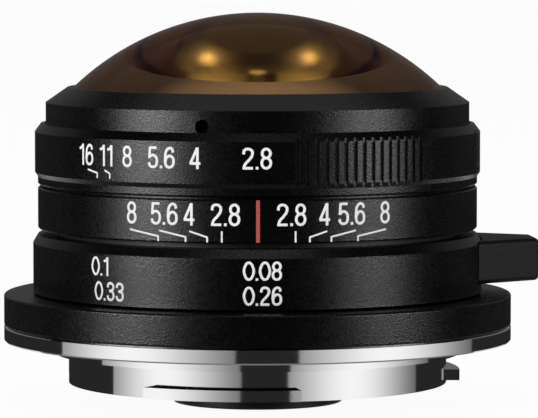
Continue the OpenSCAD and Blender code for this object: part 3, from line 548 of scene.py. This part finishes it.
def grained_black(name, grey, rough, grain, gloss=0.5):
    """A blasted, anodised finish: its grey, its roughness, the strength of its grain and its gloss."""
    finish = Finish(name)
    craters = finish.node(
        "ShaderNodeTexVoronoi", {}, {"Vector": finish.place(), "Scale": CRATER_SCALE}, "Distance"
    )
    chance = finish.node("ShaderNodeSeparateColor", {}, {"Color": finish.other(craters, "Color")}, "Red")
    broad = finish.cloud(BROAD_SCALE, detail=2)
    bump = finish.node(
        "ShaderNodeBump", {}, {"Strength": grain, "Distance": CRATER_DEEP, "Height": craters}, "Normal"
    )
    finish.rough = rough + CRATER_CHANCE * (chance - 0.5) + BROAD_CHANCE * (broad - 0.5)
    finish.set(Base_Color=(grey, grey, grey * BLUE_CAST, 1), Roughness=finish.rough, Normal=bump)
    finish.set(Specular_IOR_Level=gloss)
    return finish


black_anodised = grained_black("black_anodised", **RING_BLACK)
lever_black = grained_black("lever_black", grey=0.0035, rough=0.45, grain=0.3, gloss=0.28)
cell_black = grained_black("cell_black", grey=0.006, rough=0.5, grain=0.25)
baffle_black = grained_black("baffle_black", grey=0.004, rough=0.62, grain=0.3)
blade_black = grained_black("blade_black", grey=0.012, rough=0.4, grain=0.15)
print("five black finishes")

# %% [markdown]
# The aperture ring has grip grooves, cut into it in the CAD model. Beads hardly reach into them, so the
# metal is duller there. The distance from the lens axis and the height tell a groove from the wall around
# it, and no second material is needed.

# %% Black with duller grooves
GROOVE_RADIUS = 22.33 * MM
GROOVE_FOOT = 17.2 * MM
GROOVE_TOP = 20.9 * MM
GROOVE_ROUGH = 0.45
grip_black = grained_black("grip_black", **RING_BLACK)
in_groove = within(grip_black.off_axis(), 0, GROOVE_RADIUS)
in_groove = in_groove * within(grip_black.along("Z"), GROOVE_FOOT, GROOVE_TOP)
grip_black.set(Roughness=grip_black.rough + GROOVE_ROUGH * in_groove)
print("grooves from", round(GROOVE_FOOT / MM, 1), "to", round(GROOVE_TOP / MM, 1), "mm")

# %% [markdown]
# The mount is turned brass with a chrome plate. The turning tool leaves fine rings, and they can't be
# modelled either, so a bump follows them: a noise along one number, which is the distance from the axis
# plus the height, and so changes across flat faces and up round ones. Screws and the brass keeper are
# turned as well, only less finely.

# %% Chrome, steel and brass
TOOL_SCALE = 14000
TOOL_DEEP = 0.01 * MM
TOOL_CHANCE = 0.05
STAIN_SCALE = 300
STAIN_CHANCE = 0.05


def turned_metal(name, colour, rough, depth):
    """A turned metal: its colour, its roughness and the strength of the rings in it."""
    finish = Finish(name)
    rings = finish.node(
        "ShaderNodeTexNoise",
        {"noise_dimensions": "1D"},
        {"W": finish.off_axis() + finish.along("Z"), "Scale": TOOL_SCALE, "Detail": 3, "Roughness": 0.6},
    )
    stain = finish.cloud(STAIN_SCALE, detail=3)
    bump = finish.node(
        "ShaderNodeBump", {}, {"Strength": depth, "Distance": TOOL_DEEP, "Height": rings}, "Normal"
    )
    uneven = TOOL_CHANCE * (rings - 0.5) + STAIN_CHANCE * (stain - 0.5)
    finish.set(Base_Color=colour, Metallic=1, Roughness=rough + uneven, Normal=bump)
    return finish


chrome = turned_metal("chrome", (0.86, 0.86, 0.87, 1), rough=0.06, depth=0.08)
screw_steel = turned_metal("screw_steel", (0.32, 0.32, 0.33, 1), rough=0.31, depth=0.15)
thread_brass = turned_metal("thread_brass", (0.6, 0.45, 0.2, 1), rough=0.29, depth=0.2)
print("three turned metals")

# %% [markdown]
# The glasses are heavy, with a high index. Thin coatings keep them from mirroring the room, and the
# Principled shader has a thin film and a tint of the shine for that. The coating of the dome also passes
# less light the more it is seen at a slant: Layer Weight tells the slant, and the glass goes from a warm,
# clear tint to a dark one over a short range of it. The hollow under the dome has a golden coating that
# is partly a mirror, and shows the lamps as two glows.

# %% Glass and coatings
GLASS_INDEX = 1.7
FILM_INDEX = 1.3
HEAD_ON_TINT = (1.0, 0.9, 0.72, 1)
SLANTED_TINT = (0.032, 0.03, 0.036, 1)
SLANT_START = 0.22
SLANT_END = 0.42
GOLD_TINT = (1.0, 0.58, 0.14, 1)
GOLD_MIRROR = 0.6
BROWN_TINT = (0.4, 0.26, 0.14, 1)


def glass(name, tint, shine, film, rough):
    """A glass of some tint, with a film of some nanometres and a tint of its shine."""
    finish = Finish(name)
    finish.set(Base_Color=tint, Roughness=rough, IOR=GLASS_INDEX, Transmission_Weight=1)
    finish.set(Specular_Tint=shine, Thin_Film_Thickness=film, Thin_Film_IOR=FILM_INDEX)
    return finish


coated_glass = glass("coated_glass", HEAD_ON_TINT, shine=(0.55, 0.52, 0.66, 1), film=130, rough=0)
facing = coated_glass.node("ShaderNodeLayerWeight", {}, {"Blend": 0.5}, "Facing")
slant = coated_glass.node(
    "ShaderNodeMapRange",
    {"interpolation_type": "SMOOTHSTEP"},
    {"Value": facing, "From Min": SLANT_START, "From Max": SLANT_END},
)
slant_tint = coated_glass.node(
    "ShaderNodeMix", {"data_type": "RGBA"}, {0: slant, 6: HEAD_ON_TINT, 7: SLANTED_TINT}, 2
)
coated_glass.set(Base_Color=slant_tint)
golden_coating = glass("golden_coating", GOLD_TINT, shine=(1.0, 0.55, 0.16, 1), film=0, rough=0.11)
golden_coating.set(Metallic=GOLD_MIRROR)
optical_glass = glass("optical_glass", BROWN_TINT, shine=(0.6, 0.4, 0.2, 1), film=120, rough=0)
print("three glasses")

# %% [markdown]
# The ground edge and the seat of the front glass are lacquered brown against stray light, and so are the
# cells behind it. The light brown of the seat and the edge is a painted reflection: it stands in for the
# amber glow that shows there through the dome. A brush leaves lacquer cloudy, so a soft noise darkens the
# colour here and there and makes it duller where it is lighter.

# %% Lacquer
LACQUER_SCALE = 700
LACQUER_SHARE = 0.3
LACQUER_CHANCE = 0.1


def lacquer(name, colour, rough):
    """A thin brown lacquer with a cloudy colour, which on the seat also carries a painted reflection."""
    finish = Finish(name)
    cloud = finish.cloud(LACQUER_SCALE, detail=3)
    finish.set(Base_Color=finish.clouded(colour, cloud, LACQUER_SHARE))
    finish.set(Roughness=rough + LACQUER_CHANCE * cloud)
    return finish


# The seat's light brown is a painted reflection of the amber glow seen through the dome.
seat_lacquer_and_reflection = lacquer("seat_lacquer_and_reflection", (0.58, 0.36, 0.17, 1), rough=0.35)
cell_lacquer = lacquer("cell_lacquer", (0.02, 0.012, 0.007, 1), rough=0.5)
print("two lacquers")

# %% [markdown]
# Each CAD part takes the finish that the record names for it. A few take another one that is closer to
# the real part: the lacquered cells, the lever, the ring with the grip, and the set screws deep in their
# holes.

# %% Finishes on the lens parts
finish_of_slot = {
    "chrome": chrome,
    "screw_steel": screw_steel,
    "baffle_black": baffle_black,
    "black_anodised": black_anodised,
    "cell_black": cell_black,
    "thread_brass": thread_brass,
    "coated_glass": coated_glass,
    "optical_glass": optical_glass,
    "blade_black": blade_black,
}
own_finish = {
    "front_cell": cell_lacquer,
    "second_retainer": cell_lacquer,
    "third_spacer": cell_lacquer,
    "focus_lever": lever_black,
    "aperture_ring": grip_black,
    "front_set_screws": baffle_black,
}
for part in frame["record"]["subparts"]:
    part_name = part["node"]
    finish = own_finish.get(part_name, finish_of_slot[part["material_slot"]])
    for place in nodes[part_name].material_slots:
        place.material = finish.material
print("finishes set,", len(own_finish), "of them chosen by hand")

# %% [markdown]
# A glass element must be very smooth to look like glass, and a CAD mesh has facets that the light breaks
# on. Smoothing it with a modifier would round its edges too. So the glasses that show are turned again
# with finer steps, as on a lathe: an outline on one side of the axis, spun round it.

# %% A turned piece
SMOOTH_BELOW = math.radians(20)
MERGE_BELOW = 1e-7


def arc(radius, middle, start, end, steps):
    """Points on a sphere's upper outline, from one distance off the axis to another."""
    points = []
    for step in range(steps + 1):
        away = start + (end - start) * step / steps
        points.append((away, middle + math.sqrt(radius * radius - away * away)))
    return points


def spun(name, outline, steps):
    """A closed outline of (radius, height) pairs in millimetres, spun round the lens axis."""
    bpy.ops.object.select_all(action="DESELECT")
    bpy.ops.mesh.primitive_circle_add(vertices=len(outline), radius=MM, location=(0, 0, 0))
    made = bpy.context.object
    made.name = name
    for vertex, (away, height) in zip(made.data.vertices, outline):
        vertex.co = (away * MM, 0, height * MM)
    bpy.ops.object.mode_set(mode="EDIT")
    bpy.ops.mesh.select_all(action="SELECT")
    bpy.ops.mesh.spin(steps=steps, angle=2 * math.pi, center=(0, 0, 0), axis=(0, 0, 1))
    bpy.ops.mesh.select_all(action="SELECT")
    bpy.ops.mesh.remove_doubles(threshold=MERGE_BELOW)
    bpy.ops.mesh.dissolve_degenerate(threshold=MERGE_BELOW)
    bpy.ops.mesh.delete_loose()
    bpy.ops.mesh.select_all(action="SELECT")
    bpy.ops.mesh.normals_make_consistent(inside=False)
    bpy.ops.object.mode_set(mode="OBJECT")
    bpy.ops.object.shade_smooth_by_angle(angle=SMOOTH_BELOW)
    return made


print("spinning ready")

# %% [markdown]
# The dome is a sphere of 26.7 mm radius outside, with a hollow of 11.2 mm under it and a flat seat
# between. Its heights come from the CAD part that it replaces. The seat lies higher by the thickness of
# its lacquer, because two faces in one plane flicker. Each face takes the glass, the golden coating or
# the lacquer by where it lies, and the lacquer's light brown is a painted reflection of the amber glow.

# %% Front glass
DOME_RADIUS = 26.7
DOME_RIM = 18.5
DOME_EDGE = 18.9
DOME_THICK = 2
EDGE_TALL = 0.9
HOLLOW_RADIUS = 11.2
LACQUER_THICK = 0.02
DOME_STEPS = 48
HOLLOW_STEPS = 40
DOME_SPIN_STEPS = 160
FACE_NEAR = 0.01
HOLLOW_NEAR = 0.05
# The dome's materials are the glass, the coating and the lacquer with its painted reflection, in this
# order from 0
HOLLOW_FACE = 1
LACQUER_AND_REFLECTION_FACE = 2
dome_low, dome_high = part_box("front_element")
dome_foot = dome_low.z / MM
dome_top = dome_high.z / MM
seat = dome_foot + LACQUER_THICK
shoulder = dome_foot + EDGE_TALL
hollow_middle = dome_top - DOME_THICK - HOLLOW_RADIUS
hollow_rim = math.sqrt(HOLLOW_RADIUS**2 - (seat - hollow_middle) ** 2)
dome_outline = arc(DOME_RADIUS, dome_top - DOME_RADIUS, 0, DOME_RIM, DOME_STEPS)
dome_outline += [(DOME_RIM, shoulder), (DOME_EDGE, shoulder), (DOME_EDGE, seat)]
dome_outline += arc(HOLLOW_RADIUS, hollow_middle, hollow_rim, 0, HOLLOW_STEPS)
front_glass = spun("front_glass", dome_outline, DOME_SPIN_STEPS)
for finish in (coated_glass, golden_coating, seat_lacquer_and_reflection):
    front_glass.data.materials.append(finish.material)
for face in front_glass.data.polygons:
    away = math.hypot(face.center.x, face.center.y) / MM
    height = face.center.z / MM
    if away > DOME_RIM + FACE_NEAR or height < seat + FACE_NEAR:
        face.material_index = LACQUER_AND_REFLECTION_FACE
    elif math.hypot(away, height - hollow_middle) < HOLLOW_RADIUS + HOLLOW_NEAR:
        face.material_index = HOLLOW_FACE
front_glass.visible_shadow = False
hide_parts("front_element")
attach(front_glass, "barrel")
print("dome", round(dome_top, 2), "mm high,", len(front_glass.data.polygons), "faces")

# %% [markdown]
# The second glass shows through the dome as a smaller bubble: a nearly flat front, a step at its edge and
# a deep hollow behind. It is turned in the same way, between the heights of its CAD part.

# %% Second glass
SECOND_RADIUS = 24
SECOND_RIM = 9.2
SECOND_EDGE = 9.8
SECOND_STEP = 2
SECOND_THICK = 1.2
SECOND_HOLLOW = 5.6
SECOND_FRONT_STEPS = 24
SECOND_HOLLOW_STEPS = 32
SECOND_SPIN_STEPS = 128
second_low, second_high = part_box("second_element")
second_foot = second_low.z / MM
second_top = second_high.z / MM
step_height = second_foot + SECOND_STEP
second_middle = second_top - SECOND_THICK - SECOND_HOLLOW
second_mouth = math.sqrt(SECOND_HOLLOW**2 - (second_foot - second_middle) ** 2)
second_outline = arc(SECOND_RADIUS, second_top - SECOND_RADIUS, 0, SECOND_RIM, SECOND_FRONT_STEPS)
second_outline += [(SECOND_RIM, step_height), (SECOND_EDGE, step_height), (SECOND_EDGE, second_foot)]
second_outline += arc(SECOND_HOLLOW, second_middle, second_mouth, 0, SECOND_HOLLOW_STEPS)
second_glass = spun("second_glass", second_outline, SECOND_SPIN_STEPS)
second_glass.data.materials.append(optical_glass.material)
second_glass.visible_shadow = False
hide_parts("second_element")
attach(second_glass, "barrel")
print("second glass", round(second_top - second_foot, 2), "mm tall")

# %% [markdown]
# On a real set a photographer shades every surface from the lamps that aren't meant for it. Blender does
# this by light linking: a light has a collection of the pieces that it lights, or that it skips. The bare
# lamps and the two cloths that the rings mirror skip both glasses, which see the lamps through their
# screens alone, and the polished mount. The screens and the ceiling light only the glasses, and the front
# cards light those and the mount, so that all of these leave the black rings black.

# %% Light for the glass and for the metal
glasses = (front_glass, second_glass)
mirrors = (front_glass, second_glass, nodes["bayonet_mount"])


def told_apart(name, pieces, lights, state):
    """A collection of pieces that some lights include, or exclude."""
    told = bpy.data.collections.new(name)
    for piece in pieces:
        told.objects.link(piece)
    for light in lights:
        light.light_linking.receiver_collection = told
    for entry in told.collection_objects:
        entry.light_linking.link_state = state


told_apart("skipped_by_the_lamps", mirrors, (left_lamp, right_lamp, cone_cloth, bevel_cloth), "EXCLUDE")
told_apart("lit_by_the_screens", glasses, (screens, ceiling), "INCLUDE")
told_apart("lit_by_the_front_cards", mirrors, (front_hoop,), "INCLUDE")

# %% [markdown]
# On the real lens the scales are engraved and filled with white paint. Text objects could write them,
# but Blender's own typeface has other shapes than an engraver's. So each figure is drawn with a few pen
# strokes, in a box one unit tall: straight lines, open curves and closed loops. Each entry starts with
# the figure's width, and "i" is the sign for infinity.

# %% Figures as strokes
FIGURE_GAP = 0.07
FIGURES = {
    "0": (0.5, [
        ("loop", (0.25, 0.945), (0.44, 0.72), (0.44, 0.28), (0.25, 0.055), (0.06, 0.28), (0.06, 0.72)),
    ]),
    "1": (0.36, [
        ("line", (0.27, 0), (0.27, 1)),
        ("curve", (0.25, 0.95), (0.18, 0.83), (0.04, 0.78)),
    ]),
    "2": (0.5, [
        ("curve", (0.07, 0.7), (0.1, 0.87), (0.25, 0.945), (0.42, 0.85), (0.43, 0.66), (0.3, 0.44),
         (0.13, 0.23), (0.08, 0.06)),
        ("line", (0.025, 0.055), (0.46, 0.055)),
    ]),
    "3": (0.5, [
        ("curve", (0.07, 0.72), (0.11, 0.88), (0.25, 0.945), (0.41, 0.84), (0.4, 0.63), (0.18, 0.52)),
        ("curve", (0.18, 0.52), (0.36, 0.49), (0.44, 0.3), (0.39, 0.12), (0.25, 0.055), (0.11, 0.12),
         (0.06, 0.29)),
    ]),
    "4": (0.5, [
        ("line", (0.36, 0), (0.36, 1)),
        ("line", (0.35, 0.97), (0.06, 0.27)),
        ("line", (0.02, 0.255), (0.49, 0.255)),
    ]),
    "5": (0.5, [
        ("line", (0.1, 0.945), (0.43, 0.945)),
        ("line", (0.115, 0.98), (0.085, 0.46)),
        ("curve", (0.09, 0.49), (0.17, 0.58), (0.29, 0.6), (0.42, 0.48), (0.44, 0.3), (0.39, 0.12),
         (0.24, 0.055), (0.11, 0.12), (0.06, 0.27)),
    ]),
    "6": (0.5, [
        ("curve", (0.42, 0.74), (0.38, 0.89), (0.26, 0.945), (0.12, 0.83), (0.065, 0.55), (0.065, 0.27),
         (0.12, 0.11), (0.25, 0.055), (0.4, 0.14), (0.44, 0.31), (0.4, 0.5), (0.27, 0.58), (0.13, 0.5),
         (0.07, 0.34)),
    ]),
    "8": (0.5, [
        ("loop", (0.25, 0.945), (0.42, 0.74), (0.25, 0.53), (0.08, 0.74)),
        ("loop", (0.25, 0.53), (0.44, 0.29), (0.25, 0.055), (0.06, 0.29)),
    ]),
    ".": (0.13, [("line", (0.065, 0), (0.065, 0.125))]),
    "i": (0.9, [
        ("loop", (0.22, 0.7), (0.06, 0.5), (0.22, 0.3), (0.45, 0.5), (0.68, 0.7), (0.84, 0.5), (0.68, 0.3),
         (0.45, 0.5)),
    ]),
}
print(len(FIGURES), "figures")

# %% [markdown]
# A word is its figures side by side, centred on a place along the ring. Everything is laid out flat at
# first, in millimetres along the ring and up it, because that is how a scale is drawn.

# %% Words on a flat strip
def turned_to(radius, degrees):
    """The distance along a ring for an angle from the index."""
    return radius * math.radians(degrees)


def laid_out(word, middle, foot, tall, broad):
    """The strokes of a word around a middle, on a foot line, so tall and made broader by a factor."""
    unit = tall * broad
    width = sum(FIGURES[figure][0] for figure in word) + FIGURE_GAP * (len(word) - 1)
    start = middle - width * unit / 2
    strokes = []
    for figure in word:
        wide, shapes = FIGURES[figure]
        for kind, *points in shapes:
            strokes.append((kind, [(start + x * unit, foot + y * tall) for x, y in points]))
        start += (wide + FIGURE_GAP) * unit
    return strokes


print("words ready")

# %% [markdown]
# The pen is a curve with a round section, which gives every stroke the same width and round turns. A
# straight stroke is cut into short steps, because it is to be bent later and needs points to bend at. At
# the end the curve is made a mesh.

# %% Pen
STRAIGHT_STEP = 0.4
PEN_ROUND = 2
CURVE_STEPS = 8


def stepped(points):
    """A straight stroke in short steps, so that it can be rolled on to a ring."""
    (x0, y0), (x1, y1) = points
    steps = math.ceil(math.hypot(x1 - x0, y1 - y0) / STRAIGHT_STEP)
    return [(x0 + (x1 - x0) * i / steps, y0 + (y1 - y0) * i / steps) for i in range(steps + 1)]


def penned(name, strokes, width):
    """Pen strokes as one flat mesh."""
    bpy.ops.object.select_all(action="DESELECT")
    bpy.ops.curve.primitive_bezier_curve_add(location=(0, 0, 0))
    pen = bpy.context.object
    pen.name = name
    pen.data.splines.clear()
    pen.data.bevel_depth = width / 2 * MM
    pen.data.bevel_resolution = PEN_ROUND
    pen.data.use_fill_caps = True
    for kind, points in strokes:
        if kind == "line":
            points = stepped(points)
        path = pen.data.splines.new("BEZIER")
        path.bezier_points.add(len(points) - 1)
        path.use_cyclic_u = kind == "loop"
        path.resolution_u = CURVE_STEPS
        for knot, (x, y) in zip(path.bezier_points, points):
            knot.co = (x * MM, y * MM, 0)
            knot.handle_left_type = "VECTOR" if kind == "line" else "AUTO"
            knot.handle_right_type = knot.handle_left_type
    bpy.ops.object.convert(target="MESH")
    return bpy.context.object


print("pen ready")

# %% [markdown]
# The strokes are pressed almost flat and rolled on to their ring, so that the paint stands a few
# hundredths of a millimetre proud and follows the round wall. A pattern in the ring's material would do
# for a picture, but the meshes wouldn't have it.

# %% Paint on a ring
PAINT_PROUD = 0.03


def rolled(flat, radius, width):
    """Presses a penned mesh flat and rolls it on to a ring of a radius in millimetres."""
    for vertex in flat.data.vertices:
        along, up, out = (value / MM for value in vertex.co)
        turn = along / radius
        away = radius + out * 2 * PAINT_PROUD / width
        vertex.co = (away * math.sin(turn) * MM, -away * math.cos(turn) * MM, up * MM)
    return flat


def painted(name, body, radius, jobs, finish):
    """All strokes of one scale as a piece on its ring. jobs holds pairs of strokes and pen width."""
    flats = []
    for number, (strokes, width) in enumerate(jobs):
        flats.append(rolled(penned(f"{name}_{number}", strokes, width), radius, width))
    bpy.ops.object.select_all(action="DESELECT")
    for flat in flats:
        flat.select_set(True)
    made = flats[0]
    bpy.context.view_layer.objects.active = made
    if len(flats) > 1:
        bpy.ops.object.join()
    made.name = name
    bpy.ops.object.shade_smooth()
    made.data.materials.clear()
    made.data.materials.append(finish.material)
    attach(made, body)
    print(name, len(made.data.polygons), "faces")


print("paint stands", PAINT_PROUD, "mm proud")

# %% [markdown]
# The paint is a matt enamel, rubbed into the lines by hand, so it is a little uneven. The index line is
# the same enamel in red. A fine noise darkens the colour and roughens the surface, as on the lacquer.

# %% Enamels
ENAMEL_SCALE = 5000
ENAMEL_SHARE = 0.25
ENAMEL_ROUGH = 0.55
ENAMEL_CHANCE = 0.2
ENAMEL_GLOSS = 0.3


def enamel(name, colour):
    """A matt paint with a faint unevenness."""
    finish = Finish(name)
    cloud = finish.cloud(ENAMEL_SCALE, detail=2)
    finish.set(Base_Color=finish.clouded(colour, cloud, ENAMEL_SHARE))
    finish.set(Roughness=ENAMEL_ROUGH + ENAMEL_CHANCE * cloud, Specular_IOR_Level=ENAMEL_GLOSS)
    return finish


white_enamel = enamel("white_enamel", (0.9, 0.9, 0.88, 1))
red_enamel = enamel("red_enamel", (0.45, 0.075, 0.065, 1))
print("two enamels")

# %% [markdown]
# Aperture scale: the stops from 2.8 to 16, set out to the left of the index by the angle that the ring
# turns to bring each one to it. Where the figures crowd, a short leader points to the true place: a
# slanting stroke, and an upright one down to the edge.

# %% Aperture scale
PEN = 0.27
FINE_PEN = 0.18
LEADER_LAP = 0.05
APERTURE_RADIUS = 22.4
APERTURE_FOOT = 18.45
APERTURE_TALL = 2.07
APERTURE_BROAD = 1.1
APERTURE_LEADER = {"top": 18.05, "bend": 17.75, "foot": 17.25}


def leader(radius, start_degrees, end_degrees, top, bend, foot):
    """A slanting stroke from under a figure to its true place, and an upright one from there down."""
    start = turned_to(radius, start_degrees)
    end = turned_to(radius, end_degrees)
    return [("line", [(start, top), (end, bend)]), ("line", [(end, bend + LEADER_LAP), (end, foot)])]


stops = [("16", -48), ("11", -40.8), ("8", -34.1), ("5.6", -24.4), ("4", -15.5), ("2.8", -0.1)]
crowded = [(-47.3, -43.9), (-41.3, -39.6)]
aperture_jobs = []
for word, degrees in stops:
    middle = turned_to(APERTURE_RADIUS, degrees)
    aperture_jobs.append((laid_out(word, middle, APERTURE_FOOT, APERTURE_TALL, APERTURE_BROAD), PEN))
for start, end in crowded:
    aperture_jobs.append((leader(APERTURE_RADIUS, start, end, **APERTURE_LEADER), FINE_PEN))
painted("aperture_scale", "aperture", APERTURE_RADIUS, aperture_jobs, white_enamel)

# %% [markdown]
# Depth scale: the same stops to both sides of the red index line, each with its leader down to the edge
# against which the distances are read. Under the two innermost figures the leaders are upright, and reach
# a little higher.

# %% Depth scale
SCALE_RADIUS = 22.1
SCALE_EDGE = 11.42
DEPTH_FOOT = 13
DEPTH_TALL = 2.15
DEPTH_BROAD = 1.06
LEADER_BEND = 11.9
SLANTING_TOP = 12.45
UPRIGHT_TOP = 12.5
depth_words = [
    ("8", -33.3), ("5.6", -24), ("4", -17.3), ("2.8", -8),
    ("2.8", 8.5), ("4", 16.9), ("5.6", 24.2), ("8", 33.8),
]
depth_leaders = [
    (-33.8, -25.6), (-25.3, -18.2), (-17.2, -12.6), (-8.9, -8.9),
    (9.5, 9.5), (17.6, 13.1), (25.3, 18.7), (34.1, 25.9),
]
depth_jobs = []
for word, degrees in depth_words:
    middle = turned_to(SCALE_RADIUS, degrees)
    depth_jobs.append((laid_out(word, middle, DEPTH_FOOT, DEPTH_TALL, DEPTH_BROAD), PEN))
for start, end in depth_leaders:
    top = UPRIGHT_TOP if start == end else SLANTING_TOP
    depth_jobs.append((leader(SCALE_RADIUS, start, end, top, LEADER_BEND, SCALE_EDGE), FINE_PEN))
painted("depth_scale", "barrel", SCALE_RADIUS, depth_jobs, white_enamel)

# %% [markdown]
# The red index line stands on the same ring and edge. It is a single stroke of a broader pen.

# %% Index line
INDEX_PEN = 0.38
INDEX_ALONG = 0.05
INDEX_TOP = 15.48
index_stroke = ("line", [(INDEX_ALONG, SCALE_EDGE), (INDEX_ALONG, INDEX_TOP)])
painted("index_line", "barrel", SCALE_RADIUS, [([index_stroke], INDEX_PEN)], red_enamel)

# %% [markdown]
# Distance scale: metres over feet, from the nearest distance at the index round to infinity. Each entry
# is a word and its angle, because the two rows don't quite stand over each other.

# %% Distance scale
FOCUS_RADIUS = 22.6
FOCUS_PEN = 0.25
METRES_FOOT = 7.82
FEET_FOOT = 5.42
FOCUS_TALL = 1.82
FOCUS_BROAD = 1.1
distances = [
    (("0.08", 1.3), ("0.26", 1.3)),
    (("0.1", -42.4), ("0.33", -39.5)),
    (("0.15", -95), ("0.5", -95)),
    (("0.3", -107), ("1", -107)),
    (("i", -118), ("i", -118)),
]
focus_jobs = []
for metres, feet in distances:
    for (word, degrees), foot in ((metres, METRES_FOOT), (feet, FEET_FOOT)):
        middle = turned_to(FOCUS_RADIUS, degrees)
        focus_jobs.append((laid_out(word, middle, foot, FOCUS_TALL, FOCUS_BROAD), FOCUS_PEN))
painted("distance_scale", "focus", FOCUS_RADIUS, focus_jobs, white_enamel)

# %% [markdown]

# %% End
print("scene ready")
